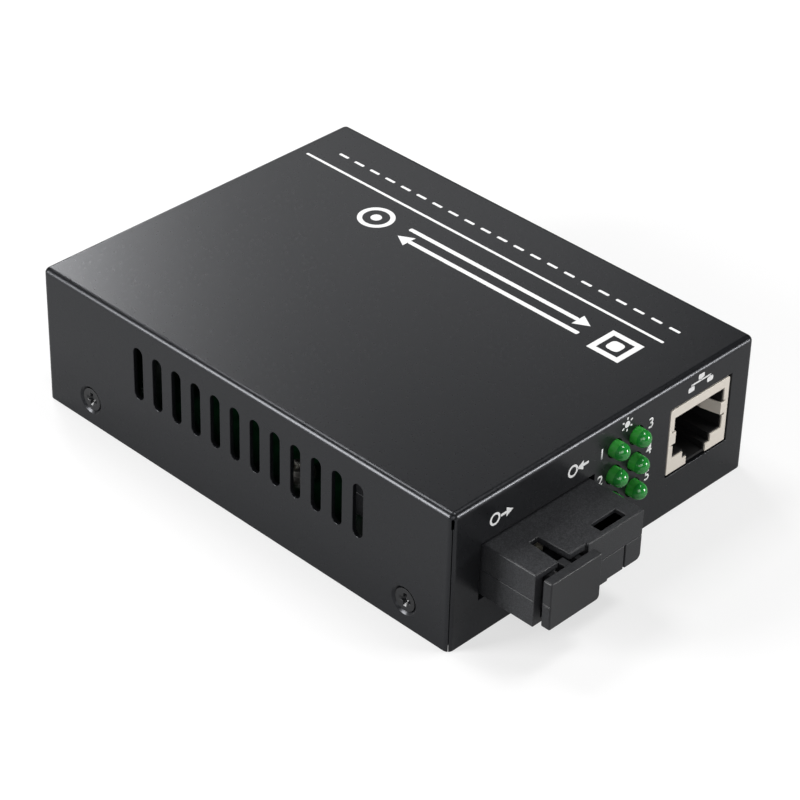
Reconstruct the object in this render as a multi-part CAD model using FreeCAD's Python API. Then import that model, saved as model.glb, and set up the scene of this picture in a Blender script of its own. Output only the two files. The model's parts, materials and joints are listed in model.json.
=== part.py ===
"""Fibre media converter in a folded steel case, in millimetres.

The origin is the centre of the case's footprint on the surface that it stands
on. The front face, with the ports and lights, faces -Y, +X is to the right seen
from the front, and +Z is up. Every sub-part is one STEP file in parts/.
"""

import FreeCAD, Part
import os
from math import cos, floor, pi, radians, sin, sqrt, tan

os.makedirs("parts", exist_ok=True)
V = FreeCAD.Vector
X, Y, Z = V(1, 0, 0), V(0, 1, 0), V(0, 0, 1)
PAST = 1.0  # how far a cutting tool runs past the face that it cuts

# ---------------------------------------------------------------- case
CASE_W = 70.0
CASE_D = 94.0
CASE_H = 26.0
SHEET = 0.8
BEND_R = 1.1  # outside radius of every fold
SEAM = 0.08  # open slit down each vertical corner of the folded sheet
RELIEF_R = 0.22  # wider top end of each slit
RELIEF_LEN = 1.6
SLIP = 0.15  # gap between the cover and the base that slides into it

VENT_PITCH = 4.6
VENT_W = 2.2
VENT_LEN = 10.0
VENT_FIRST = 19.8  # first slot's centre, back from the front face
VENT_LAST = 23.6  # last slot's centre, at least this far from the back face
VENT_BELOW_TOP = 4.7  # top end of the slots, down from the top face

# ---------------------------------------------------------------- gaps across the front, left to right
# They add up to what the ports and lights leave free, and stretch or shrink together with the case.
MODULE_GAP = 7.05  # case's left side to the fibre module
LIGHTS_GAP = 2.95  # module to the lights' holder
SOCKET_GAP = 6.12  # holder to the socket
END_GAP = 5.4  # socket to the case's right side

# ---------------------------------------------------------------- cover screws
SCREW_R = 1.25
SCREW_LEN = 4.0
HEAD_R = 2.1
HEAD_H = 0.7
HEAD_SINK = 0.25
SEAT_R = 2.6  # mouth of the countersink
CROSS_W = 0.7
CROSS_DEPTH = 0.8
THREAD_GAP = 0.04
SCREW_FRONT_IN = 9.6
SCREW_BACK_IN = 11.0
SCREW_BELOW_BOARD = 1.6

# ---------------------------------------------------------------- board and what carries it
BOARD_TOP = 8.0
BOARD_T = 1.6
BOARD_SIDE_GAP = 2.05  # to the base plate's upturned sides
BOARD_END_GAP = 0.5  # to the inside of the front and back
FLANGE_ABOVE_SCREW = 3.2
COLLAR_R = 1.9
COLLAR_LEN = 1.0
STANDOFF_R = 2.5
STANDOFF_FOOT_R = 2.1
BOARD_SCREW_R = 1.5
BOARD_SCREW_HEAD_R = 2.75
BOARD_SCREW_HEAD_H = 1.8
BOARD_SCREW_LEN = 5.0
BOARD_HOLE_R = 1.6
HOLE_SIDE_IN = 4.0  # mounting holes, in from the board's sides
HOLE_BACK_IN = 4.5
HOLE_FRONT_IN = 39.5

# ---------------------------------------------------------------- fibre module
MODULE_W = 24.1
MODULE_LEN = 39.6
MODULE_WALL = 0.9
NOSE_OUT = 10.4  # how far the port stands out of the front face
BLANK_STEP = 0.4  # the closed half stands out this much further
PORT_BLOCK_W = 11.3
PORT_IN = 6.3  # port's axis, in from the module's left side
PORT_UP = 4.25  # port's axis above the board
UPPER_H = 4.95  # upper half, from the split at the port's axis
LOWER_H = 4.85
NOSE_KEEL_W = 16.5  # the deeper part of the nose, from its left side
NOSE_KEEL = 0.35
NOSE_CORNER_R = 1.0
SC_W = 9.2
SC_H = 7.6
SC_DEPTH = 16.0
KEY_LEN = 6.2
KEY_BACK_W = 1.9
KEY_MOUTH_W = 2.6
WINDOW_W = 5.75
WINDOW_LEN = 2.2
WINDOW_FRONT_IN = 1.0
WINDOW_SIDE_IN = 3.1
GROOVE_W = 0.35
GROOVE_DEPTH = 0.5
CORNER_BLOCK_W = 3.7
PANEL_GAP = 0.75  # cut-out in the front, wider than the module on each side
PANEL_GAP_Z = 0.45  # and higher and lower than it
EDGE_R = 0.25
FIT = 0.05
POST_R = 1.1
POST_IN = 2.6
POST_BACK = 17.0  # locating posts, back from the port's mouth
LEDGE_W = 1.2
PIN_PITCH = 2.54
PIN_COUNT = 9
PIN_W = 0.46
PIN_BACK_IN = 2.7

# inside the port
PLATE_T = 1.0
TUBE_R = 2.45
TUBE_BACK = 7.5  # tube's tip, back from the port's mouth
TUBE_LIP = 0.6
TUBE_LIP_R = 1.4
SLEEVE_R = 1.6
FERRULE_R = 1.25
SLEEVE_LEN = 6.0
HOOK_T = 0.7
HOOK_H = 2.6
HOOK_CLEAR = 0.6  # room beside each hook to spring outwards
HOOK_TIP = 7.0  # hooks' tips, back from the port's mouth
HOOK_BARB = 0.5
DIVIDER_T = 1.0
NECK_R = 2.4
OPTIC_W = 6.0
OPTIC_LEN = 8.0
CAN_R = 2.8
CAN_T = 1.2
CAN_LEAD_R = 0.22
CAN_LEAD_LEN = 2.6
CAN_LEAD_OUT = 1.0
MODULE_BOARD_T = 0.8
MODULE_BOARD_UP = 2.2  # its underside, above the main board
MODULE_BOARD_GAP = 0.3
MODULE_CHIP_W = 4.0
MODULE_CHIP_H = 0.9

# ---------------------------------------------------------------- dust plug
HANDLE_W = 11.3
HANDLE_H = 8.75
HANDLE_T = 1.7
HANDLE_GAP = 1.05
HANDLE_EDGE_R = 0.3
HANDLE_CORNER_R = 0.8
HANDLE_LINE = 0.1  # parting line round its sides
PLUG_FIT = 0.15
PLUG_IN = 5.5
PLUG_CORNER_R = 0.4
PLUG_STEM_H = 4.6
PLUG_RIB_T = 1.2
PLUG_RIB_X = 3.0  # guide ribs, out from the port's axis
PLUG_BORE_R = 1.6
PLUG_BORE_DEPTH = 3.5
PLUG_KEY_W = 1.6
PLUG_KEY_LEN = 2.0
PLUG_KEY_BELOW = 0.8  # key's top, under the module's top face

# ---------------------------------------------------------------- copper socket
RJ_W = 14.6
RJ_H = 12.6
RJ_D = 21.3
RJ_SINK = 0.1  # its front, behind the case's front face
RJ_PANEL_GAP = 0.35
SHIELD_T = 0.3
SHIELD_CORNER_R = 0.5
SHIELD_LIP = 0.25  # the shield's opening, outside the block's on every side
MOUTH_W = 11.8
MOUTH_ROOF = 2.1  # from the mouth's top to the socket's
MOUTH_TOP = RJ_H - MOUTH_ROOF
MOUTH_BOTTOM = 3.1  # heights above the board, as are the next two
LATCH_W = 6.5
LATCH_BOTTOM = 1.7
TONGUE_W = 4.3
TONGUE_BOTTOM = 0.5
POCKET_D = 13.0
WIRE_CHANNEL_W = 8.6
WIRE_CHANNEL_H = 0.9
WIRE_COUNT = 8
WIRE_PITCH = 1.016
WIRE_T = 0.35
WIRE_START = 3.6  # foremost bend of the wires, back from the socket's front
WIRE_FREE_LEN = 8.5
WIRE_ANGLE = 24.0
WIRE_TAIL_BACK = 17.6
PEG_R = 1.6
PEG_X = 5.0
PEG_BACK = 9.0
PEG_GAP = 0.1
FINGER_H = 2.3
FINGER_T = 0.25
FINGER_BOW = 0.8
FINGER_LEN = 8.0
NOTCH_H = 0.35  # slits above and below each spring
NOTCH_DEEP = 0.5
TAB_W = 1.5
TAB_BACK = 13.0
TAIL_BELOW = 1.2  # how far soldered tails stand out under the board

# ---------------------------------------------------------------- lights
LED_COLUMNS = 2
LED_ROWS = 3
LED_PITCH = 5.08
LED_FIRST_UP = 2.14  # lowest row's axis, above the board
LED_R = 1.5
LED_LEN = 5.3
LED_OUT = 2.7
LED_FLANGE_R = 1.9
LED_FLANGE_T = 1.0
LED_HOLE_GAP = 0.2
LEG_W = 0.5
LEG_PITCH = 2.54
LEG_BEND_R = 0.8
LEG_FIRST_BACK = 2.0  # lowest row's bend, behind the holder
LEG_ROW_STEP = 2.2
HOLDER_D = 6.0
HOLDER_WALL = 2.35
HOLDER_HOLE_R = 0.5

# ---------------------------------------------------------------- power inlet
JACK_IN = 16.0  # its axis, in from the case's right side
JACK_W = 9.0
JACK_H = 11.0
JACK_D = 14.2
JACK_UP = 6.5
JACK_BORE_R = 3.15
JACK_BORE_DEPTH = 10.5
JACK_PIN_R = 1.0
JACK_PIN_ROOT_R = 1.3
JACK_PIN_SHORT = 0.8
JACK_PANEL_R = 3.8
JACK_PANEL_GAP = 0.1
LUG_W = 2.4
LUG_T = 0.6
SPRING_W = 2.4
SPRING_T = 0.3
SPRING_RISE = 0.5

# ---------------------------------------------------------------- parts on the board
BOARD_PART_UP = 0.1  # stand-off of chip bodies
LEAD_T = 0.15
CHIP_W = 7.0
CHIP_H = 1.4
CHIP_LEAD_COUNT = 8
CHIP_LEAD_PITCH = 0.8
CHIP_LEAD_W = 0.35
CHIP_LEAD_REACH = 1.0
CHIP_BACK_OF_MODULE = 7.0
MAGNETICS_W = 12.7
MAGNETICS_D = 7.0
MAGNETICS_H = 5.6
MAGNETICS_LEAD_COUNT = 8
MAGNETICS_LEAD_PITCH = 1.27
MAGNETICS_LEAD_W = 0.45
MAGNETICS_LEAD_REACH = 1.3
MAGNETICS_BACK_OF_SOCKET = 6.5
SO8_W = 4.9
SO8_D = 3.9
SO8_H = 1.5
SO8_LEAD_COUNT = 4
SO8_LEAD_PITCH = 1.27
SO8_LEAD_W = 0.42
SO8_LEAD_REACH = 1.0
REGULATOR_W = 6.5
REGULATOR_D = 3.5
REGULATOR_H = 1.6
REGULATOR_PITCH = 2.3
REGULATOR_LEAD_W = 0.7
REGULATOR_TAB_W = 3.0
REGULATOR_LEAD_REACH = 1.7
CRYSTAL_W = 10.2
CRYSTAL_D = 4.0
CRYSTAL_H = 3.3
CRYSTAL_RIM = 0.4
CRYSTAL_RIM_T = 0.4
CRYSTAL_LEG_PITCH = 4.88
CRYSTAL_LEG_R = 0.22
CAP_LEG_R = 0.25
CAP_GROOVE = 0.35
INDUCTOR_W = 7.3
INDUCTOR_H = 4.3
INDUCTOR_CORNER_R = 1.6
INDUCTOR_DISC_R = 2.6
INDUCTOR_DISC_T = 0.25
DIODE_W = 4.3
DIODE_D = 2.6
DIODE_H = 2.2
DIODE_TAB_W = 1.5
DIODE_TAB_REACH = 0.5
SMALL_W = 1.6
SMALL_D = 0.8
RESISTOR_H = 0.45
CAPACITOR_H = 0.85
SMALL_PITCH = 2.4
CAP_LARGE = (4.0, 11.5, 3.5)  # radius, height and leg spacing
CAP_SMALL = (3.15, 11.0, 2.5)
CAP_BACK_IN = 8.0  # cans' centres, in from the board's back edge
CAP_GAP = 3.0
PART_GAP = 2.0

# ---------------------------------------------------------------- places worked out from the sizes above
LEFT, RIGHT = -CASE_W / 2, CASE_W / 2
FRONT, BACK = -CASE_D / 2, CASE_D / 2
BOARD_UNDER = BOARD_TOP - BOARD_T
TAIL_END = BOARD_UNDER - TAIL_BELOW

BASE_X = CASE_W / 2 - SHEET - SLIP
BASE_Y = CASE_D / 2 - SHEET - SLIP
FLANGE_IN_X = BASE_X - SHEET
SCREW_Z = BOARD_UNDER - SCREW_BELOW_BOARD
SCREW_YS = (FRONT + SCREW_FRONT_IN, BACK - SCREW_BACK_IN)
FLANGE_TOP = SCREW_Z + FLANGE_ABOVE_SCREW

BOARD_X = FLANGE_IN_X - BOARD_SIDE_GAP
BOARD_Y = CASE_D / 2 - SHEET - BOARD_END_GAP
HOLE_X = BOARD_X - HOLE_SIDE_IN
HOLE_YS = (-BOARD_Y + HOLE_FRONT_IN, BOARD_Y - HOLE_BACK_IN)

HOLDER_W = LED_PITCH * (LED_COLUMNS - 1) + 2 * HOLDER_WALL
FREE_W = CASE_W - MODULE_W - HOLDER_W - RJ_W
GAP_UNIT = FREE_W / (MODULE_GAP + LIGHTS_GAP + SOCKET_GAP + END_GAP)

MODULE_X0 = LEFT + MODULE_GAP * GAP_UNIT
MODULE_X1 = MODULE_X0 + MODULE_W
MODULE_CX = (MODULE_X0 + MODULE_X1) / 2
PORT_X = MODULE_X0 + PORT_IN
PORT_Z = BOARD_TOP + PORT_UP
MODULE_TOP = PORT_Z + UPPER_H
NOSE_Z0 = PORT_Z - LOWER_H
NOSE_Y0 = FRONT - NOSE_OUT
BLANK_Y0 = NOSE_Y0 - BLANK_STEP
BLANK_X0 = MODULE_X0 + PORT_BLOCK_W
MODULE_Y1 = NOSE_Y0 + MODULE_LEN
CAVITY_END = NOSE_Y0 + SC_DEPTH
CHAMBER_Y0 = CAVITY_END + DIVIDER_T
CHAMBER_Y1 = MODULE_Y1 - MODULE_WALL
PIN_Y = MODULE_Y1 - PIN_BACK_IN
MODULE_BOARD_Z = BOARD_TOP + MODULE_BOARD_UP
OPTIC_Y1 = CHAMBER_Y0 + OPTIC_LEN

RJ_X = RIGHT - END_GAP * GAP_UNIT - RJ_W / 2
RJ_Y0 = FRONT + RJ_SINK
RJ_Y1 = RJ_Y0 + RJ_D
RJ_TOP = BOARD_TOP + RJ_H
MOUTH_Z1 = BOARD_TOP + MOUTH_TOP
CEILING_Z = MOUTH_Z1 + WIRE_CHANNEL_H
WIRE_TAIL_Y = RJ_Y0 + WIRE_TAIL_BACK

LED_TIP_Y = FRONT - LED_OUT
LED_SEAT_Y = LED_TIP_Y + LED_LEN
LED_X0 = MODULE_X1 + LIGHTS_GAP * GAP_UNIT + HOLDER_WALL
LED_XS = [LED_X0 + LED_PITCH * i for i in range(LED_COLUMNS)]
LED_ZS = [BOARD_TOP + LED_FIRST_UP + LED_PITCH * i for i in range(LED_ROWS)]
HOLDER_Y1 = LED_SEAT_Y + HOLDER_D

JACK_X = RIGHT - JACK_IN
JACK_Z = BOARD_TOP + JACK_UP
JACK_Y1 = BACK - SHEET - JACK_PANEL_GAP
JACK_Y0 = JACK_Y1 - JACK_D


# ---------------------------------------------------------------- helpers
def block(x0, x1, y0, y1, z0, z1):
    """A box between two corners."""
    return Part.makeBox(x1 - x0, y1 - y0, z1 - z0, V(x0, y0, z0))


def pad(cx, cy, z0, w, d, h):
    """A box centred on (cx, cy) that stands on z0."""
    return block(cx - w / 2, cx + w / 2, cy - d / 2, cy + d / 2, z0, z0 + h)


def rod(r, start, axis, length):
    """A cylinder from start along axis."""
    return Part.makeCylinder(r, length, start, axis)


def prism(points, push):
    """A polygon pushed along a vector."""
    return Part.Face(Part.makePolygon([*points, points[0]])).extrude(push)


def edges_along(shape, axis, keep=lambda centre: True):
    """The straight edges parallel to axis whose centre keep() accepts."""
    found = []
    for edge in shape.Edges:
        if not isinstance(edge.Curve, Part.Line):
            continue
        along = edge.tangentAt(edge.FirstParameter)
        if abs(abs(along.dot(axis)) - 1) < 1e-6 and keep(edge.CenterOfMass):
            found.append(edge)
    return found


def rounded(shape, r, axis, keep=lambda centre: True):
    """The shape with its straight edges along axis rounded."""
    return shape.makeFillet(r, edges_along(shape, axis, keep))


def turned(profile, start, axis):
    """A solid of revolution; profile is (radius, distance along the axis) points."""
    side = X if abs(axis.dot(X)) < 0.5 else Z
    points = [start + side * r + axis * s for r, s in profile]
    face = Part.Face(Part.makePolygon([*points, points[0]]))
    return face.revolve(start, axis, 360)


def bent_path(points, radius):
    """Straight runs through points, with each corner turned by a tangent arc."""
    edges = []
    start = points[0]
    for before, corner, after in zip(points, points[1:], points[2:]):
        u = (before - corner).normalize()
        v = (after - corner).normalize()
        half = u.getAngle(v) / 2
        back = radius / tan(half)
        middle = corner + (u + v).normalize() * (radius / sin(half) - radius)
        edges.append(Part.LineSegment(start, corner + u * back).toShape())
        edges.append(Part.Arc(corner + u * back, middle, corner + v * back).toShape())
        start = corner + v * back
    edges.append(Part.LineSegment(start, points[-1]).toShape())
    return Part.Wire(edges)


def bent_strip(points, radius, width, thick):
    """A strip that follows a path in a YZ plane; width is along X."""
    along = (points[1] - points[0]).normalize()
    across = along.cross(X) * (thick / 2)
    half = X * (width / 2)
    p = points[0]
    ring = Part.makePolygon([p + across + half, p - across + half, p - across - half, p + across - half, p + across + half])
    return bent_path(points, radius).makePipeShell([ring], True, False)


def joined(shapes):
    """One solid made of shapes that touch or overlap."""
    first, *rest = shapes
    return first.fuse(rest).removeSplitter()


def save(node, shapes):
    """Writes one node; several separate solids go in as a compound."""
    shapes = shapes if isinstance(shapes, list) else [shapes]
    shape = shapes[0] if len(shapes) == 1 else Part.makeCompound(shapes)
    shape.exportStep(f"parts/{node}.step")
    solids = shape.Solids
    print(f"{node:26s} solids {len(solids):3d} valid {shape.isValid()} volume {shape.Volume:10.3f}")


# ---------------------------------------------------------------- case
def side_slot(y, z0, z1, width, x0, x1):
    """A round-ended slot, upright in the side, as a tool from x0 to x1."""
    r = width / 2
    low, high = z0 + r, z1 - r
    wire = Part.Wire(
        [
            Part.LineSegment(V(x0, y - r, low), V(x0, y - r, high)).toShape(),
            Part.Arc(V(x0, y - r, high), V(x0, y, z1), V(x0, y + r, high)).toShape(),
            Part.LineSegment(V(x0, y + r, high), V(x0, y + r, low)).toShape(),
            Part.Arc(V(x0, y + r, low), V(x0, y, z0), V(x0, y - r, low)).toShape(),
        ]
    )
    return Part.Face(wire).extrude(X * (x1 - x0))


def vent_tools():
    """The slots of both sides."""
    top = CASE_H - VENT_BELOW_TOP
    count = floor((CASE_D - VENT_FIRST - VENT_LAST) / VENT_PITCH + 0.01) + 1
    tools = []
    for i in range(count):
        y = FRONT + VENT_FIRST + VENT_PITCH * i
        for x0, x1 in ((LEFT - PAST, LEFT + SHEET + PAST), (RIGHT - SHEET - PAST, RIGHT + PAST)):
            tools.append(side_slot(y, top - VENT_LEN, top, VENT_W, x0, x1))
    return tools


def seam_tools():
    """The slit at each vertical corner, with its wider, round-ended top."""
    top = CASE_H - BEND_R
    reach = 4 * SHEET
    tools = []
    for sx in (-1, 1):
        for sy in (-1, 1):
            corner = V(sx * (CASE_W / 2 - SHEET), sy * (CASE_D / 2 - SHEET), 0)
            outward = V(sx, sy, 0).normalize()
            for width, z0 in ((SEAM, -PAST), (2 * RELIEF_R, top - RELIEF_LEN)):
                slit = Part.makeBox(reach, width, top - z0, V(-reach / 2, -width / 2, z0))
                slit.rotate(V(0, 0, 0), Z, 45 * sx * sy)
                slit.translate(corner)
                tools.append(slit)
            tools.append(rod(RELIEF_R, corner + Z * top - outward * reach / 2, outward, reach))
    return tools


def screw_seat_tools():
    """The countersunk holes for the cover's screws."""
    tools = []
    for sx in (-1, 1):
        for y in SCREW_YS:
            face = V(sx * (CASE_W / 2 + PAST), y, SCREW_Z)
            tools.append(Part.makeCone(SEAT_R + PAST, SEAT_R - SHEET, SHEET + PAST, face, X * -sx))
            tools.append(rod(SEAT_R - SHEET, face, X * -sx, SHEET + 2 * PAST))
    return tools


def front_tools():
    """The cut-outs of the front face."""
    y0, y1 = FRONT - PAST, FRONT + SHEET + PAST
    module = block(
        MODULE_X0 - PANEL_GAP, MODULE_X1 + PANEL_GAP, y0, y1, NOSE_Z0 - PANEL_GAP_Z, MODULE_TOP + PANEL_GAP_Z
    )
    half = RJ_W / 2 + RJ_PANEL_GAP
    socket = block(RJ_X - half, RJ_X + half, y0, y1, BOARD_TOP - RJ_PANEL_GAP, RJ_TOP + RJ_PANEL_GAP)
    lights = [rod(LED_R + LED_HOLE_GAP, V(x, y0, z), Y, y1 - y0) for x in LED_XS for z in LED_ZS]
    return [module, socket, *lights]


def make_top_cover():
    """Top and four sides folded from one sheet, open below."""
    outer = block(LEFT, RIGHT, FRONT, BACK, 0, CASE_H)
    folds = edges_along(outer, Z)
    folds += edges_along(outer, X, lambda c: c.z > CASE_H / 2)
    folds += edges_along(outer, Y, lambda c: c.z > CASE_H / 2)
    outer = outer.makeFillet(BEND_R, folds)
    top = CASE_H - SHEET
    inner = block(LEFT + SHEET, RIGHT - SHEET, FRONT + SHEET, BACK - SHEET, -PAST, top)
    folds = edges_along(inner, Z)
    folds += edges_along(inner, X, lambda c: c.z > top / 2)
    folds += edges_along(inner, Y, lambda c: c.z > top / 2)
    inner = inner.makeFillet(BEND_R - SHEET, folds)
    inlet = rod(JACK_PANEL_R, V(JACK_X, BACK - SHEET - PAST, JACK_Z), Y, SHEET + 2 * PAST)
    tools = [*vent_tools(), *seam_tools(), *screw_seat_tools(), *front_tools(), inlet]
    return outer.cut(inner).cut(tools)


def make_base_plate():
    """The floor and its two upturned sides, with a collar for each cover screw."""
    outer = block(-BASE_X, BASE_X, -BASE_Y, BASE_Y, 0, FLANGE_TOP)
    outer = rounded(outer, BEND_R, Y, lambda c: c.z < SHEET)
    inner = block(-FLANGE_IN_X, FLANGE_IN_X, -BASE_Y - PAST, BASE_Y + PAST, SHEET, FLANGE_TOP + PAST)
    inner = rounded(inner, BEND_R - SHEET, Y, lambda c: c.z < 2 * SHEET)
    tray = outer.cut(inner)
    tray = rounded(tray, BEND_R, X, lambda c: c.z > FLANGE_TOP - SHEET)
    collars, holes = [], []
    for sx in (-1, 1):
        for y in SCREW_YS:
            inside = V(sx * (FLANGE_IN_X + SHEET / 2), y, SCREW_Z)
            collars.append(rod(COLLAR_R, inside, X * -sx, COLLAR_LEN + SHEET / 2))
            holes.append(rod(SCREW_R + THREAD_GAP, V(sx * (BASE_X + PAST), y, SCREW_Z), X * -sx, 4 * SHEET + PAST))
    for x, y in standoff_places():
        holes.append(rod(STANDOFF_FOOT_R, V(x, y, -PAST), Z, SHEET + 2 * PAST))
    return joined([tray, *collars]).cut(holes)


def cross_tool(centre, axis, width, depth, reach):
    """A cross recess cut into a screw's head, tapering inwards."""
    side = Y if abs(axis.dot(X)) > 0.5 else X
    up = axis.cross(side)
    blades = []
    for wide, thin in ((side, up), (up, side)):
        outline = [
            centre - axis * PAST + wide * reach,
            centre + wide * reach,
            centre + axis * depth + wide * (reach * 0.4),
            centre + axis * depth - wide * (reach * 0.4),
            centre - wide * reach,
            centre - axis * PAST - wide * reach,
        ]
        outline = [p - thin * (width / 2) for p in outline]
        blades.append(prism(outline, thin * width))
    return blades


def make_cover_screws():
    """Four countersunk cross-head screws, sunk just under the sides' faces."""
    screws = []
    for sx in (-1, 1):
        inward = X * -sx
        for y in SCREW_YS:
            top = V(sx * (CASE_W / 2 - HEAD_SINK), y, SCREW_Z)
            profile = [
                (0, 0),
                (HEAD_R, 0),
                (HEAD_R - HEAD_H, HEAD_H),
                (SCREW_R, HEAD_H),
                (SCREW_R, SCREW_LEN - 0.3),
                (SCREW_R - 0.3, SCREW_LEN),
                (0, SCREW_LEN),
            ]
            screw = turned(profile, top, inward)
            screws.append(screw.cut(cross_tool(top, inward, CROSS_W, CROSS_DEPTH, HEAD_R * 0.6)))
    return screws


# ---------------------------------------------------------------- board
def standoff_places():
    return [(sx * HOLE_X, y) for sx in (-1, 1) for y in HOLE_YS]


def make_board_standoffs():
    """Round spacers pressed into the base plate, bored for the board's screws."""
    spacers = []
    for x, y in standoff_places():
        profile = [(0, 0), (STANDOFF_FOOT_R, 0), (STANDOFF_FOOT_R, SHEET), (STANDOFF_R, SHEET)]
        profile += [(STANDOFF_R, BOARD_UNDER), (0, BOARD_UNDER)]
        bore = rod(BOARD_SCREW_R + THREAD_GAP, V(x, y, SHEET), Z, BOARD_UNDER)
        spacers.append(turned(profile, V(x, y, 0), Z).cut(bore))
    return spacers


def make_board_screws():
    """Four pan-head screws that hold the board down."""
    screws = []
    for x, y in standoff_places():
        h, r = BOARD_SCREW_HEAD_H, BOARD_SCREW_HEAD_R
        profile = [(0, h), (r * 0.65, h), (r * 0.92, h * 0.7), (r, h * 0.3), (r, 0)]
        profile += [(BOARD_SCREW_R, 0), (BOARD_SCREW_R, -BOARD_SCREW_LEN), (0, -BOARD_SCREW_LEN)]
        top = V(x, y, BOARD_TOP + h)
        screw = turned(profile, V(x, y, BOARD_TOP), Z)
        screws.append(screw.cut(cross_tool(top, -Z, CROSS_W, CROSS_DEPTH, r * 0.55)))
    return screws


def make_main_board():
    """The circuit board, drilled for everything that passes through it."""
    board = block(-BOARD_X, BOARD_X, -BOARD_Y, BOARD_Y, BOARD_UNDER, BOARD_TOP)
    board = rounded(board, BEND_R, Z)

    def hole(x, y, r):
        return rod(r, V(x, y, BOARD_UNDER - PAST), Z, BOARD_T + 2 * PAST)

    def slot(x, y, w, d):
        return pad(x, y, BOARD_UNDER - PAST, w, d, BOARD_T + 2 * PAST)

    tools = [hole(x, y, BOARD_HOLE_R) for x, y in standoff_places()]
    tools += [hole(x, NOSE_Y0 + POST_BACK, POST_R + PEG_GAP) for x in post_xs()]
    tools += [hole(x, PIN_Y, PIN_W) for x in pin_xs()]
    tools += [hole(RJ_X + sx * PEG_X, RJ_Y0 + PEG_BACK, PEG_R + PEG_GAP) for sx in (-1, 1)]
    tools += [hole(x, WIRE_TAIL_Y, WIRE_T) for x in wire_xs()]
    for sx in (-1, 1):
        tools.append(slot(RJ_X + sx * (RJ_W - SHIELD_T) / 2, RJ_Y0 + TAB_BACK, 3 * SHIELD_T, TAB_W + 2 * PEG_GAP))
    for x in LED_XS:
        for row in range(LED_ROWS):
            tools += [hole(x + s * LEG_PITCH / 2, leg_y(row), LEG_W) for s in (-1, 1)]
    tools.append(slot(JACK_X, JACK_Y0 - LUG_T / 2, LUG_W + 2 * PEG_GAP, LUG_T + 2 * PEG_GAP))
    tools.append(slot(JACK_X, spring_y(), SPRING_W + 2 * PEG_GAP, SPRING_T + 2 * PEG_GAP))
    tools += [hole(x, y, r) for x, y, r in crystal_legs() + capacitor_legs()]
    return board.cut(tools)


# ---------------------------------------------------------------- fibre module
def post_xs():
    return (MODULE_X0 + POST_IN, MODULE_X1 - POST_IN)


def pin_xs():
    return [MODULE_CX + PIN_PITCH * (i - (PIN_COUNT - 1) / 2) for i in range(PIN_COUNT)]


def module_hollows():
    """The port, the empty half beside it and the chamber behind them, through both halves."""
    low, high = BOARD_TOP + MODULE_WALL, MODULE_TOP - MODULE_WALL
    port = block(
        PORT_X - SC_W / 2, PORT_X + SC_W / 2, NOSE_Y0 - PAST, CAVITY_END, PORT_Z - SC_H / 2, PORT_Z + SC_H / 2
    )
    blank = block(
        PORT_X + SC_W / 2 + MODULE_WALL,
        MODULE_X1 - MODULE_WALL,
        BLANK_Y0 + MODULE_WALL,
        CAVITY_END,
        low,
        high,
    )
    chamber = block(MODULE_X0 + MODULE_WALL, MODULE_X1 - MODULE_WALL, CHAMBER_Y0, CHAMBER_Y1, low, high)
    neck = rod(NECK_R + FIT, V(PORT_X, CAVITY_END - PAST, PORT_Z), Y, DIVIDER_T + 2 * PAST)
    return [port, blank, chamber, neck]


def make_module_upper_housing():
    """The upper half of the module's housing, with the key slot and the window."""
    port_half = block(MODULE_X0, MODULE_X1, NOSE_Y0, MODULE_Y1, PORT_Z, MODULE_TOP)
    blank_half = block(BLANK_X0, MODULE_X1, BLANK_Y0, NOSE_Y0 + MODULE_WALL, PORT_Z, MODULE_TOP)
    shell = joined([port_half, blank_half])
    top = edges_along(shell, X, lambda c: c.z > MODULE_TOP - EDGE_R)
    top += edges_along(shell, Y, lambda c: c.z > MODULE_TOP - EDGE_R and c.y > NOSE_Y0)
    shell = shell.makeFillet(EDGE_R, top)
    back = KEY_BACK_W / 2
    mouth = back + (KEY_MOUTH_W / 2 - back) * (KEY_LEN + PAST) / KEY_LEN
    outline = [
        V(PORT_X - mouth, NOSE_Y0 - PAST, PORT_Z),
        V(PORT_X + mouth, NOSE_Y0 - PAST, PORT_Z),
        V(PORT_X + back, NOSE_Y0 + KEY_LEN, PORT_Z),
        V(PORT_X - back, NOSE_Y0 + KEY_LEN, PORT_Z),
    ]
    key = prism(outline, Z * (UPPER_H + PAST))
    x1 = MODULE_X1 - WINDOW_SIDE_IN
    y0 = BLANK_Y0 + WINDOW_FRONT_IN
    window = block(x1 - WINDOW_W, x1, y0, y0 + WINDOW_LEN, PORT_Z, MODULE_TOP + PAST)
    return shell.cut([*module_hollows(), key, window])


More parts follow.
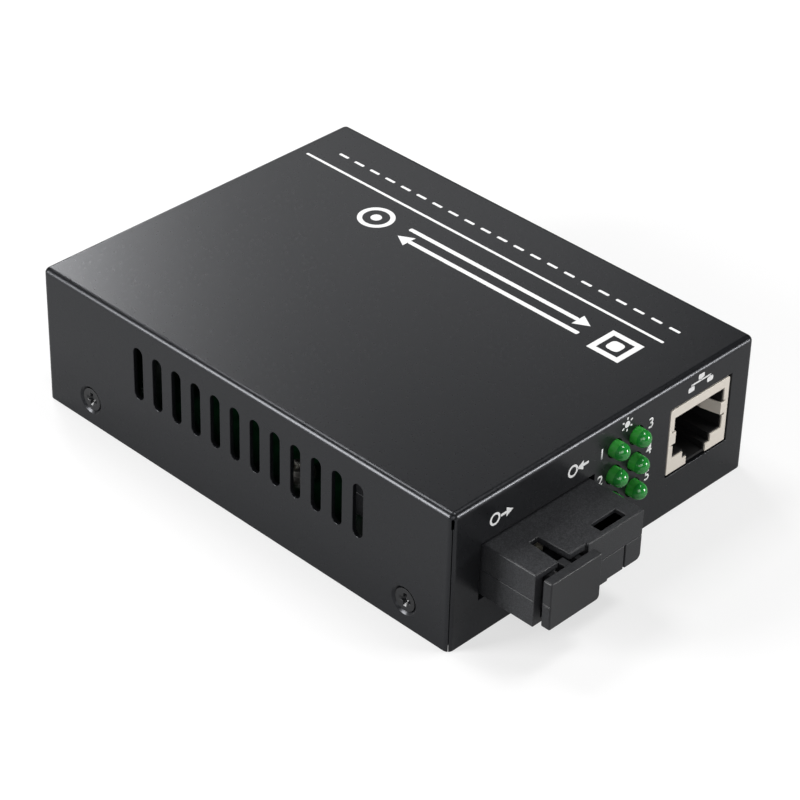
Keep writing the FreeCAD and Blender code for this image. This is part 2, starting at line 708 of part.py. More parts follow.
def make_module_lower_housing():
    """The lower half, whose nose hangs below the board's level in front of the board."""
    nose_end = -BOARD_Y - BOARD_END_GAP
    nose = block(MODULE_X0, MODULE_X1, NOSE_Y0, nose_end, NOSE_Z0, PORT_Z)
    blank = block(BLANK_X0, MODULE_X1, BLANK_Y0, NOSE_Y0 + MODULE_WALL, NOSE_Z0, PORT_Z)
    body = block(MODULE_X0, MODULE_X1, NOSE_Y0 + MODULE_WALL, MODULE_Y1, BOARD_TOP, PORT_Z)
    keel_x = MODULE_X0 + NOSE_KEEL_W
    lifted = block(keel_x, MODULE_X1 + PAST, BLANK_Y0 - PAST, nose_end + PAST, NOSE_Z0 - PAST, NOSE_Z0 + NOSE_KEEL)
    shell = joined([joined([nose, blank]).cut(lifted), body])
    shell = rounded(shell, NOSE_CORNER_R, Y, lambda c: c.x > MODULE_X1 - EDGE_R and c.z < BOARD_TOP and c.y < FRONT)
    posts = [
        rod(POST_R, V(x, NOSE_Y0 + POST_BACK, TAIL_END), Z, BOARD_TOP + MODULE_WALL / 2 - TAIL_END)
        for x in post_xs()
    ]
    ledges = [pad(x, y, BOARD_TOP, LEDGE_W, LEDGE_W, MODULE_BOARD_UP) for x, y in ledge_places()]
    x1 = MODULE_X1 - CORNER_BLOCK_W
    groove = block(x1 - GROOVE_W, x1, BLANK_Y0 - PAST, BLANK_Y0 + GROOVE_DEPTH, NOSE_Z0 - PAST, PORT_Z)
    holes = [rod(PIN_W, V(x, PIN_Y, BOARD_TOP - PAST), Z, MODULE_WALL + 2 * PAST) for x in pin_xs()]
    shell = shell.cut([*module_hollows(), groove])
    return joined([shell, *posts, *ledges]).cut(holes)


def ledge_places():
    """Where the module's own board rests: in the corners of its chamber."""
    half = LEDGE_W / 2
    right, left = MODULE_X1 - MODULE_WALL - half, MODULE_X0 + MODULE_WALL + half
    return [(right, CHAMBER_Y0 + half), (right, CHAMBER_Y1 - half), (left, CHAMBER_Y1 - half)]


def make_sc_latch_insert():
    """The port's inner clip: a back plate, a centre tube and two sprung hooks."""
    w, h = SC_W / 2 - FIT, SC_H / 2 - FIT
    plate_y = CAVITY_END - PLATE_T
    plate = block(PORT_X - w, PORT_X + w, plate_y, CAVITY_END, PORT_Z - h, PORT_Z + h)
    tube = rod(TUBE_R, V(PORT_X, NOSE_Y0 + TUBE_BACK, PORT_Z), Y, SC_DEPTH - TUBE_BACK - PLATE_T / 2)
    hooks = []
    for sx in (-1, 1):
        outer = PORT_X + sx * (w - HOOK_CLEAR)
        inner = outer - sx * HOOK_T
        barb = inner - sx * HOOK_BARB
        tip = NOSE_Y0 + HOOK_TIP
        outline = [
            V(outer, plate_y + PLATE_T / 2, PORT_Z - HOOK_H / 2),
            V(outer, tip + HOOK_BARB, PORT_Z - HOOK_H / 2),
            V(inner, tip, PORT_Z - HOOK_H / 2),
            V(barb, tip + 2 * HOOK_BARB, PORT_Z - HOOK_H / 2),
            V(inner, tip + 3 * HOOK_BARB, PORT_Z - HOOK_H / 2),
            V(inner, plate_y + PLATE_T / 2, PORT_Z - HOOK_H / 2),
        ]
        hooks.append(prism(outline, Z * HOOK_H))
    mouth = NOSE_Y0 + TUBE_BACK
    lip = rod(TUBE_LIP_R, V(PORT_X, mouth - PAST, PORT_Z), Y, TUBE_LIP + 2 * PAST)
    bore = rod(SLEEVE_R + FIT, V(PORT_X, mouth + TUBE_LIP, PORT_Z), Y, SC_DEPTH)
    return joined([plate, tube, *hooks]).cut([lip, bore])


def sleeve_y():
    return NOSE_Y0 + TUBE_BACK + TUBE_LIP


def make_alignment_sleeve():
    """The ceramic sleeve that lines up the ferrule."""
    outer = rod(SLEEVE_R, V(PORT_X, sleeve_y(), PORT_Z), Y, SLEEVE_LEN)
    return outer.cut(rod(FERRULE_R, V(PORT_X, sleeve_y() - PAST, PORT_Z), Y, SLEEVE_LEN + 2 * PAST))


def make_fibre_stub():
    """The short fibre in its ring, between the sleeve and the optical block."""
    start = sleeve_y() + SLEEVE_LEN
    return rod(SLEEVE_R, V(PORT_X, start, PORT_Z), Y, CAVITY_END - start)


def make_optical_block():
    """The metal block that carries the laser and the detector."""
    w = OPTIC_W / 2
    body = block(PORT_X - w, PORT_X + w, CHAMBER_Y0, OPTIC_Y1, PORT_Z - w, PORT_Z + w)
    body = rounded(body, 2 * EDGE_R, Y)
    neck = rod(NECK_R, V(PORT_X, CAVITY_END, PORT_Z), Y, DIVIDER_T + PAST)
    return joined([body, neck])


def make_can(start, axis):
    """A sealed can's base with three legs; it sits with its base on the optical block."""
    side = X if abs(axis.dot(X)) < 0.5 else Y
    base = rod(CAN_R, start, axis, CAN_T)
    legs = []
    for angle in (90, 210, 330):
        off = side * cos(radians(angle)) + Z * sin(radians(angle))
        legs.append(rod(CAN_LEAD_R, start + off * CAN_LEAD_OUT + axis * (CAN_T / 2), axis, CAN_T / 2 + CAN_LEAD_LEN))
    return joined([base, *legs])


def make_module_board():
    """The module's own board: an L that leaves room for the optical block."""
    gap = MODULE_BOARD_GAP
    x0, x1 = MODULE_X0 + MODULE_WALL + gap, MODULE_X1 - MODULE_WALL - gap
    y0, y1 = CHAMBER_Y0 + gap, CHAMBER_Y1 - gap
    inner_x = PORT_X + OPTIC_W / 2 + CAN_T + CAN_LEAD_LEN + gap
    inner_y = OPTIC_Y1 + CAN_T + CAN_LEAD_LEN + gap
    outline = [V(inner_x, y0, 0), V(x1, y0, 0), V(x1, y1, 0), V(x0, y1, 0), V(x0, inner_y, 0), V(inner_x, inner_y, 0)]
    board = prism([p + Z * MODULE_BOARD_Z for p in outline], Z * MODULE_BOARD_T)
    holes = [rod(PIN_W, V(x, PIN_Y, MODULE_BOARD_Z - PAST), Z, MODULE_BOARD_T + 2 * PAST) for x in pin_xs()]
    return board.cut(holes)


def make_module_chip():
    """The laser driver, in a flat square package."""
    x = (PORT_X + OPTIC_W / 2 + CAN_T + CAN_LEAD_LEN + MODULE_X1) / 2
    y = CHAMBER_Y0 + MODULE_CHIP_W
    return pad(x, y, MODULE_BOARD_Z + MODULE_BOARD_T, MODULE_CHIP_W, MODULE_CHIP_W, MODULE_CHIP_H)


def make_module_pins():
    """Nine square pins from the module's board down through the main board."""
    top = MODULE_BOARD_Z + MODULE_BOARD_T + PIN_W
    return [pad(x, PIN_Y, TAIL_END, PIN_W, PIN_W, top - TAIL_END) for x in pin_xs()]


# ---------------------------------------------------------------- dust plug
def handle_line(back):
    """The fine groove that the two halves of the mould leave round the handle's sides."""
    w = HANDLE_W / 2
    outer = block(PORT_X - w - PAST, PORT_X + w + PAST, back - HANDLE_T, back, PORT_Z - HANDLE_LINE, PORT_Z)
    inset = w - HANDLE_LINE
    return outer.cut(block(PORT_X - inset, PORT_X + inset, back - HANDLE_T, back, PORT_Z - PAST, PORT_Z + PAST))


def make_dust_plug():
    """A flat handle on a hollow stem with two guide ribs, and a short key behind the handle."""
    back = NOSE_Y0 - HANDLE_GAP
    w, h = HANDLE_W / 2, HANDLE_H / 2
    handle = block(PORT_X - w, PORT_X + w, back - HANDLE_T, back, PORT_Z - h, PORT_Z + h)
    handle = rounded(handle, HANDLE_CORNER_R, Y, lambda c: c.x > PORT_X and c.z < PORT_Z)
    handle = rounded(handle, HANDLE_EDGE_R, Y, lambda c: c.x < PORT_X or c.z > PORT_Z)
    root = back - HANDLE_T / 2
    tip = NOSE_Y0 + PLUG_IN
    w, h = SC_W / 2 - PLUG_FIT, SC_H / 2 - PLUG_FIT
    stem = block(PORT_X - w, PORT_X + w, root, tip, PORT_Z - PLUG_STEM_H / 2, PORT_Z + PLUG_STEM_H / 2)
    stem = rounded(stem, PLUG_CORNER_R, Y)
    half = PLUG_RIB_T / 2
    middles = (PORT_X - PLUG_RIB_X, PORT_X + PLUG_RIB_X)
    ribs = [block(x - half, x + half, root, tip - PLUG_CORNER_R, PORT_Z - h, PORT_Z + h) for x in middles]
    half = PLUG_KEY_W / 2
    key = block(PORT_X - half, PORT_X + half, root, back + PLUG_KEY_LEN, PORT_Z, MODULE_TOP - PLUG_KEY_BELOW)
    bore = rod(PLUG_BORE_R, V(PORT_X, tip - PLUG_BORE_DEPTH, PORT_Z), Y, PLUG_BORE_DEPTH + PAST)
    plug = joined([handle, stem, *ribs, key]).cut([bore, handle_line(back)])
    front = back - HANDLE_T
    rim = [e for e in plug.Edges if abs(e.BoundBox.YMin - front) < 1e-4 and abs(e.BoundBox.YMax - front) < 1e-4]
    return plug.makeFillet(HANDLE_EDGE_R * 0.8, rim)


# ---------------------------------------------------------------- copper socket
def wire_xs():
    return [RJ_X + WIRE_PITCH * (i - (WIRE_COUNT - 1) / 2) for i in range(WIRE_COUNT)]


def mouth_prism(y0, y1, lip=0.0):
    """The socket's opening: a wide mouth with two steps for the plug's latch below it."""
    levels = (
        (MOUTH_W, MOUTH_BOTTOM, MOUTH_TOP),
        (LATCH_W, LATCH_BOTTOM, MOUTH_TOP),
        (TONGUE_W, TONGUE_BOTTOM, MOUTH_TOP),
    )
    parts = [
        block(RJ_X - w / 2 - lip, RJ_X + w / 2 + lip, y0, y1, BOARD_TOP + low - lip, BOARD_TOP + high + lip)
        for w, low, high in levels
    ]
    return joined(parts)


def make_rj45_housing():
    """The plastic socket: a stepped pocket, a channel for the wires and two pegs."""
    w = RJ_W / 2 - SHIELD_T
    body = block(RJ_X - w, RJ_X + w, RJ_Y0 + SHIELD_T, RJ_Y1 - SHIELD_T, BOARD_TOP, RJ_TOP - SHIELD_T)
    pocket = mouth_prism(RJ_Y0 - PAST, RJ_Y0 + POCKET_D)
    half = WIRE_CHANNEL_W / 2
    ceiling = block(RJ_X - half, RJ_X + half, RJ_Y0 + WIRE_START - 1.2, WIRE_TAIL_Y, MOUTH_Z1 - FIT, CEILING_Z)
    drop = block(RJ_X - half, RJ_X + half, WIRE_TAIL_Y - WIRE_T, WIRE_TAIL_Y + 2 * WIRE_T, BOARD_TOP - PAST, CEILING_Z)
    pegs = [
        rod(PEG_R, V(RJ_X + sx * PEG_X, RJ_Y0 + PEG_BACK, BOARD_UNDER), Z, BOARD_T + LATCH_BOTTOM / 2)
        for sx in (-1, 1)
    ]
    return joined([body.cut([pocket, ceiling, drop]), *pegs])


def shield_finger(sx):
    """A spring bent back from the front into the mouth, on one side."""
    wall = RJ_X + sx * MOUTH_W / 2
    inward = -sx
    root = sx * (SHIELD_LIP + SHIELD_T)
    path = (
        (wall + root, RJ_Y0),
        (wall + inward * 0.3, RJ_Y0),
        (wall + inward * (FINGER_BOW + FINGER_T), RJ_Y0 + FINGER_LEN * 0.45),
        (wall + inward * (FINGER_T + FIT), RJ_Y0 + FINGER_LEN),
        (wall + inward * FIT, RJ_Y0 + FINGER_LEN),
        (wall + inward * FINGER_BOW, RJ_Y0 + FINGER_LEN * 0.45),
        (wall + inward * FIT, RJ_Y0 + SHIELD_T),
        (wall + root, RJ_Y0 + SHIELD_T),
    )
    middle = BOARD_TOP + (MOUTH_TOP + MOUTH_BOTTOM) / 2
    outline = [V(x, y, middle - FINGER_H / 2) for x, y in path]
    return prism(outline, Z * FINGER_H)


def shield_notches():
    """The slits that free the springs from the front."""
    middle = BOARD_TOP + (MOUTH_TOP + MOUTH_BOTTOM) / 2
    reach = MOUTH_W / 2 + SHIELD_LIP + NOTCH_DEEP
    lows = (middle - FINGER_H / 2 - NOTCH_H, middle + FINGER_H / 2)
    return [block(RJ_X - reach, RJ_X + reach, RJ_Y0 - PAST, RJ_Y0 + 2 * SHIELD_T, z, z + NOTCH_H) for z in lows]


def make_rj45_shield():
    """The folded shield: front, top, sides and back, with side springs and board tabs."""
    outer = block(RJ_X - RJ_W / 2, RJ_X + RJ_W / 2, RJ_Y0, RJ_Y1, BOARD_TOP, RJ_TOP)
    outer = rounded(outer, SHIELD_CORNER_R, Y, lambda c: c.z > RJ_TOP - SHIELD_T)
    w = RJ_W / 2 - SHIELD_T
    inner = block(
        RJ_X - w, RJ_X + w, RJ_Y0 + SHIELD_T, RJ_Y1 - SHIELD_T, BOARD_TOP - PAST, RJ_TOP - SHIELD_T
    )
    half = TONGUE_W / 2 + SHIELD_LIP
    foot_top = BOARD_TOP + MOUTH_BOTTOM
    open_foot = block(RJ_X - half, RJ_X + half, RJ_Y0 - PAST, RJ_Y0 + 2 * SHIELD_T, BOARD_TOP - PAST, foot_top)
    mouth = mouth_prism(RJ_Y0 - PAST, RJ_Y0 + 2 * SHIELD_T, SHIELD_LIP)
    shell = outer.cut([inner, open_foot, mouth, *shield_notches()])
    tabs = []
    for sx in (-1, 1):
        tab_x = RJ_X + sx * (RJ_W - SHIELD_T) / 2
        tabs.append(pad(tab_x, RJ_Y0 + TAB_BACK, TAIL_END, SHIELD_T, TAB_W, BOARD_TOP + TAB_W - TAIL_END))
    return joined([shell, *[shield_finger(sx) for sx in (-1, 1)], *tabs])


def make_rj45_contacts():
    """Eight wires: up from the board, forward along the ceiling and back down into the mouth."""
    wires = []
    ceiling = CEILING_Z - WIRE_T
    start_y = RJ_Y0 + WIRE_START
    tip_y = start_y + WIRE_FREE_LEN * cos(radians(WIRE_ANGLE))
    tip_z = ceiling - WIRE_FREE_LEN * sin(radians(WIRE_ANGLE))
    for x in wire_xs():
        path = [V(x, WIRE_TAIL_Y, TAIL_END), V(x, WIRE_TAIL_Y, ceiling), V(x, start_y, ceiling), V(x, tip_y, tip_z)]
        wires.append(bent_strip(path, WIRE_T, WIRE_T, WIRE_T))
    return wires


# ---------------------------------------------------------------- lights
def leg_y(row):
    return HOLDER_Y1 + LEG_FIRST_BACK + LEG_ROW_STEP * row


def make_led_lens(x, z):
    """A flanged barrel with a domed end."""
    at = V(x, LED_SEAT_Y, z)
    barrel = LED_LEN - LED_R
    s = LED_R * sqrt(0.5)
    face = Part.Face(
        Part.Wire(
            [
                *Part.makePolygon(
                    [
                        at - Y * LED_LEN,
                        at,
                        at + X * LED_FLANGE_R,
                        at + X * LED_FLANGE_R - Y * LED_FLANGE_T,
                        at + X * LED_R - Y * LED_FLANGE_T,
                        at + X * LED_R - Y * barrel,
                    ]
                ).Edges,
                Part.Arc(at + X * LED_R - Y * barrel, at + X * s - Y * (barrel + s), at - Y * LED_LEN).toShape(),
            ]
        )
    )
    return face.revolve(at, Y, 360)


def make_led_leads(x, z, row):
    """Two legs, straight back through the holder and down through the board."""
    legs = []
    for s in (-1, 1):
        leg_x = x + s * LEG_PITCH / 2
        path = [V(leg_x, LED_SEAT_Y, z), V(leg_x, leg_y(row), z), V(leg_x, leg_y(row), TAIL_END)]
        legs.append(bent_strip(path, LEG_BEND_R, LEG_W, LEG_W))
    return legs


def make_led_holder():
    """The block that keeps the lights in line."""
    x0, x1 = LED_XS[0] - HOLDER_WALL, LED_XS[-1] + HOLDER_WALL
    body = block(x0, x1, LED_SEAT_Y, HOLDER_Y1, BOARD_TOP, LED_ZS[-1] + HOLDER_WALL)
    body = rounded(body, 2 * EDGE_R, Y, lambda c: c.z > LED_ZS[-1])
    holes = [
        rod(HOLDER_HOLE_R, V(x + s * LEG_PITCH / 2, LED_SEAT_Y - PAST, z), Y, HOLDER_D + 2 * PAST)
        for x in LED_XS
        for z in LED_ZS
        for s in (-1, 1)
    ]
    return body.cut(holes)


# ---------------------------------------------------------------- power inlet
def spring_y():
    return JACK_Y1 - JACK_BORE_DEPTH * 0.8


def make_power_jack_housing():
    """The inlet's block, bored from the back of the case."""
    body = block(JACK_X - JACK_W / 2, JACK_X + JACK_W / 2, JACK_Y0, JACK_Y1, BOARD_TOP, BOARD_TOP + JACK_H)
    body = rounded(body, BEND_R, Y, lambda c: c.z > JACK_Z)
    bore = rod(JACK_BORE_R, V(JACK_X, JACK_Y1 - JACK_BORE_DEPTH, JACK_Z), Y, JACK_BORE_DEPTH + PAST)
    root = rod(JACK_PIN_ROOT_R + FIT, V(JACK_X, JACK_Y0 - PAST, JACK_Z), Y, JACK_D)
    w = SPRING_W / 2 + FIT
    low, high = JACK_Z - JACK_BORE_R - SPRING_T - FIT, JACK_Z - JACK_BORE_R / 2
    groove = block(JACK_X - w, JACK_X + w, spring_y() - SPRING_T, JACK_Y1 - LUG_T, low, high)
    drop = block(JACK_X - w, JACK_X + w, spring_y() - SPRING_T, spring_y() + SPRING_T, BOARD_TOP - PAST, high)
    return body.cut([bore, root, groove, drop])


def make_power_jack_pin():
    """The centre pin and its lug down the back of the block."""
    inside = JACK_D - JACK_BORE_DEPTH
    length = JACK_D - JACK_PIN_SHORT
    soft = JACK_PIN_R * 0.4
    profile = [(0, -LUG_T / 2), (JACK_PIN_ROOT_R, -LUG_T / 2), (JACK_PIN_ROOT_R, inside), (JACK_PIN_R, inside)]
    profile += [(JACK_PIN_R, length - soft), (JACK_PIN_R - soft, length), (0, length)]
    pin = turned(profile, V(JACK_X, JACK_Y0, JACK_Z), Y)
    lug = block(JACK_X - LUG_W / 2, JACK_X + LUG_W / 2, JACK_Y0 - LUG_T, JACK_Y0, TAIL_END, JACK_Z + LUG_W / 2)
    return joined([pin, lug])


def make_power_jack_spring():
    """The leaf that presses on the plug's barrel, with its tail through the board."""
    low = JACK_Z - JACK_BORE_R - SPRING_T / 2
    y = spring_y()
    tip = JACK_Y1 - 2 * LUG_T
    rise = low + SPRING_RISE
    path = [V(JACK_X, y, TAIL_END), V(JACK_X, y, low), V(JACK_X, (y + tip) / 2, rise), V(JACK_X, tip, low)]
    return bent_strip(path, SPRING_T, SPRING_W, SPRING_T)


# ---------------------------------------------------------------- parts on the board
def gull_leads(cx, cy, w, d, count, pitch, lead_w, reach, height, sides):
    """Leads that step down to the board on the named sides of a chip w by d."""
    leads = []
    foot = reach * 0.55
    for side in sides:
        out = {"E": X, "W": -X, "N": Y, "S": -Y}[side]
        across = V(abs(out.y), abs(out.x), 0)
        edge = V(cx, cy, BOARD_TOP) + out * (w if side in "EW" else d) * 0.5
        for i in range(count):
            at = edge + across * (pitch * (i - (count - 1) / 2) - lead_w / 2)
            outline = [
                at + Z * height,
                at + out * (reach - foot + LEAD_T) + Z * height,
                at + out * (reach - foot + LEAD_T) + Z * LEAD_T,
                at + out * reach + Z * LEAD_T,
                at + out * reach,
                at + out * (reach - foot),
                at + out * (reach - foot) + Z * (height - LEAD_T),
                at + Z * (height - LEAD_T),
            ]
            leads.append(prism(outline, across * lead_w))
    return leads


def chip_body(cx, cy, w, d, h):
    """A moulded package, bevelled above and below its leads."""
    z0 = BOARD_TOP + BOARD_PART_UP
    body = pad(cx, cy, z0, w, d, h)
    rims = edges_along(body, X) + edges_along(body, Y)
    return body.makeChamfer(h * 0.12, rims)


def switch_chip_place():
    return (LED_XS[-1], MODULE_Y1 + CHIP_BACK_OF_MODULE)


def make_switch_chip():
    return chip_body(*switch_chip_place(), CHIP_W, CHIP_W, CHIP_H)


def make_switch_chip_leads():
    height = BOARD_PART_UP + CHIP_H / 2
    return gull_leads(
        *switch_chip_place(), CHIP_W, CHIP_W, CHIP_LEAD_COUNT, CHIP_LEAD_PITCH, CHIP_LEAD_W, CHIP_LEAD_REACH, height, "EWNS"
    )


def magnetics_place():
    return (RJ_X, RJ_Y1 + MAGNETICS_BACK_OF_SOCKET)


def make_magnetics_body():
    return chip_body(*magnetics_place(), MAGNETICS_W, MAGNETICS_D, MAGNETICS_H)


def make_magnetics_leads():
    return gull_leads(
        *magnetics_place(),
        MAGNETICS_W,
        MAGNETICS_D,
        MAGNETICS_LEAD_COUNT,
        MAGNETICS_LEAD_PITCH,
        MAGNETICS_LEAD_W,
        MAGNETICS_LEAD_REACH,
        MAGNETICS_H / 2,
        "NS",
    )


def converter_place():
    return (JACK_X - JACK_W - SO8_W, JACK_Y0 - SO8_W)


def make_converter_chip():
    return chip_body(*converter_place(), SO8_W, SO8_D, SO8_H)


def make_converter_chip_leads():
    height = BOARD_PART_UP + SO8_H / 2
    return gull_leads(
        *converter_place(), SO8_W, SO8_D, SO8_LEAD_COUNT, SO8_LEAD_PITCH, SO8_LEAD_W, SO8_LEAD_REACH, height, "NS"
    )


def inductor_place():
    x, y = converter_place()
    return (x - INDUCTOR_W - PART_GAP, y)


def make_power_inductor():
    """A shielded square inductor with a round core in its top."""
    x, y = inductor_place()
    body = pad(x, y, BOARD_TOP, INDUCTOR_W, INDUCTOR_W, INDUCTOR_H)
    body = rounded(body, INDUCTOR_CORNER_R, Z)
    top = BOARD_TOP + INDUCTOR_H
    ring = rod(INDUCTOR_DISC_R + INDUCTOR_DISC_T, V(x, y, top - INDUCTOR_DISC_T), Z, PAST)
    ring = ring.cut(rod(INDUCTOR_DISC_R, V(x, y, top - PAST), Z, 2 * PAST))
    return body.cut(ring)


def regulator_place():
    x, y = inductor_place()
    return (x - INDUCTOR_W - REGULATOR_W / 2, y)


def make_regulator():
    return chip_body(*regulator_place(), REGULATOR_W, REGULATOR_D, REGULATOR_H)


def make_regulator_leads():
    x, y = regulator_place()
    height = BOARD_PART_UP + REGULATOR_H / 2
    legs = gull_leads(
        x, y, REGULATOR_W, REGULATOR_D, 3, REGULATOR_PITCH, REGULATOR_LEAD_W, REGULATOR_LEAD_REACH, height, "S"
    )
    tab = gull_leads(x, y, REGULATOR_W, REGULATOR_D, 1, 0, REGULATOR_TAB_W, REGULATOR_LEAD_REACH, height, "N")
    return legs + tab


def diode_place():
    return (JACK_X, JACK_Y0 - LUG_T - DIODE_D - PART_GAP)


def make_rectifier_diode():
    """A moulded diode with a folded tab at each end."""
    x, y = diode_place()
    body = pad(x, y, BOARD_TOP, DIODE_W, DIODE_D, DIODE_H)
    body = body.makeChamfer(DIODE_H * 0.15, edges_along(body, Y, lambda c: c.z > BOARD_TOP + DIODE_H / 2))
    span = DIODE_W + 2 * DIODE_TAB_REACH
    tabs = pad(x, y, BOARD_TOP, span, DIODE_TAB_W, 2 * LEAD_T)
    return joined([body, tabs])


def crystal_place():
    x, y = switch_chip_place()
    return (x, y - CHIP_W / 2 - CHIP_LEAD_REACH - CRYSTAL_D)


def crystal_legs():
    x, y = crystal_place()
    return [(x + s * CRYSTAL_LEG_PITCH / 2, y, CRYSTAL_LEG_R + PEG_GAP) for s in (-1, 1)]


def oval(cx, cy, z0, w, d, h):
    """A flat-sided oval block, w long and d wide."""
    return rounded(pad(cx, cy, z0, w, d, h), d / 2 - 0.001, Z)


def make_crystal():
    """An oval metal can on its rim, with two legs."""
    x, y = crystal_place()
    can = oval(x, y, BOARD_TOP, CRYSTAL_W, CRYSTAL_D, CRYSTAL_H)
    top = [e for e in can.Edges if e.BoundBox.ZMin > BOARD_TOP + CRYSTAL_H / 2]
    can = can.makeFillet(CRYSTAL_RIM, top)
    rim = oval(x, y, BOARD_TOP, CRYSTAL_W + 2 * CRYSTAL_RIM, CRYSTAL_D + 2 * CRYSTAL_RIM, CRYSTAL_RIM_T)
    legs = [
        rod(CRYSTAL_LEG_R, V(lx, ly, TAIL_END), Z, BOARD_TOP + CRYSTAL_RIM_T / 2 - TAIL_END)
        for lx, ly, _ in crystal_legs()
    ]
    return joined([can, rim, *legs])


def capacitor_sizes():
    """Centre, radius, height and leg spacing of each can."""
    y = BOARD_Y - CAP_BACK_IN
    large, small = CAP_LARGE[0], CAP_SMALL[0]
    first = -HOLE_X + BOARD_SCREW_HEAD_R + PART_GAP + large
    second = first + large + CAP_GAP + small
    third = JACK_X - JACK_W / 2 - CAP_GAP - small
    return [(first, y, *CAP_LARGE), (second, y, *CAP_SMALL), (third, y, *CAP_SMALL)]


def capacitor_legs():
    return [
        (x + s * gap / 2, y, CAP_LEG_R + PEG_GAP) for x, y, _, _, gap in capacitor_sizes() for s in (-1, 1)
    ]


def make_filter_capacitor(x, y, r, h, gap):
    """A sealed round can, crimped near its base, with two legs."""
    g, e = CAP_GROOVE, CAP_GROOVE * 0.8
    profile = [(0, 0), (r - e, 0), (r, e), (r, 1.2), (r - g, 1.6), (r, 2.0), (r, h - e), (r - e, h), (0, h)]
    can = turned(profile, V(x, y, BOARD_TOP), Z)
    legs = [
        rod(CAP_LEG_R, V(x + s * gap / 2, y, TAIL_END), Z, BOARD_TOP + CAP_GROOVE - TAIL_END) for s in (-1, 1)
    ]
    return joined([can, *legs])


def small_part_rows():
    """First place, count and direction of each row of small parts."""
    chip_x, chip_y = switch_chip_place()
    near = CHIP_W / 2 + CHIP_LEAD_REACH + SMALL_PITCH
    return [
        ("resistor", V(chip_x + near, chip_y - SMALL_PITCH * 1.5, 0), 4, Y),
        ("resistor", V(chip_x - near, chip_y - SMALL_PITCH, 0), 3, Y),
        ("resistor", V(chip_x - CHIP_W, chip_y + near + SMALL_PITCH, 0), 6, X),
        ("capacitor", V(chip_x - CHIP_W / 2, chip_y + near, 0), 4, X),
        ("capacitor", V(chip_x - near - SMALL_PITCH * 3, chip_y - SMALL_PITCH, 0), 4, Y),
        ("capacitor", V(regulator_place()[0] - REGULATOR_W, regulator_place()[1] - SMALL_PITCH, 0), 3, Y),
    ]


def make_small_parts(kind, height):
    """Every small part of one kind, each a separate block."""
    parts = []
    for name, first, count, way in small_part_rows():
        if name != kind:
            continue
        w, d = (SMALL_W, SMALL_D) if way == Y else (SMALL_D, SMALL_W)
        for i in range(count):
            at = first + way * (SMALL_PITCH * i)
            parts.append(pad(at.x, at.y, BOARD_TOP, w, d, height))
    return parts


# ---------------------------------------------------------------- the whole converter
save("top_cover", make_top_cover())
save("base_plate", make_base_plate())
save("cover_screws", make_cover_screws())
save("board_standoffs", make_board_standoffs())
save("board_screws", make_board_screws())
save("main_board", make_main_board())
save("module_upper_housing", make_module_upper_housing())
save("module_lower_housing", make_module_lower_housing())
save("sc_latch_insert", make_sc_latch_insert())
save("alignment_sleeve", make_alignment_sleeve())
save("fibre_stub", make_fibre_stub())
save("optical_block", make_optical_block())
save("laser_can", make_can(V(PORT_X, OPTIC_Y1, PORT_Z), Y))
save("detector_can", make_can(V(PORT_X + OPTIC_W / 2, CHAMBER_Y0 + OPTIC_LEN / 2, PORT_Z), X))
save("module_board", make_module_board())
save("module_chip", make_module_chip())
save("module_pins", make_module_pins())
save("dust_plug", make_dust_plug())
save("rj45_housing", make_rj45_housing())
save("rj45_shield", make_rj45_shield())
save("rj45_contacts", make_rj45_contacts())
save("led_holder", make_led_holder())
light = 0
for led_row, led_z in enumerate(LED_ZS):
    for led_x in LED_XS:
        light += 1
        save(f"led_lens_{light}", make_led_lens(led_x, led_z))
        save(f"led_leads_{light}", make_led_leads(led_x, led_z, led_row))
save("power_jack_housing", make_power_jack_housing())
save("power_jack_pin", make_power_jack_pin())
save("power_jack_spring", make_power_jack_spring())
save("switch_chip", make_switch_chip())
save("switch_chip_leads", make_switch_chip_leads())
save("magnetics_body", make_magnetics_body())
save("magnetics_leads", make_magnetics_leads())
save("crystal", make_crystal())
for number, size in enumerate(capacitor_sizes(), 1):
    save(f"filter_capacitor_{number}", make_filter_capacitor(*size))
save("power_inductor", make_power_inductor())
save("regulator", make_regulator())
save("regulator_leads", make_regulator_leads())
save("converter_chip", make_converter_chip())
save("converter_chip_leads", make_converter_chip_leads())
save("rectifier_diode", make_rectifier_diode())
save("chip_resistors", make_small_parts("resistor", RESISTOR_H))
save("chip_capacitors", make_small_parts("capacitor", CAPACITOR_H))
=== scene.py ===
"""Looks of the fibre media converter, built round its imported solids.

Lengths are in metres in the frame's own axes: -Y out of the front face, +X to
the right seen from the front, +Z up. Sizes read in millimetres are written
times MM. Each sub-assembly is a class that dresses its solids and adds what
the solids leave out: soft edges, smooth light domes and the printed marks.
"""

from __future__ import annotations

import json
import logging
import math
from collections.abc import Callable, Iterable, Sequence
from dataclasses import dataclass, field
from enum import Enum

import bmesh
import bpy
from mathutils import Matrix, Vector
from mathutils.bvhtree import BVHTree

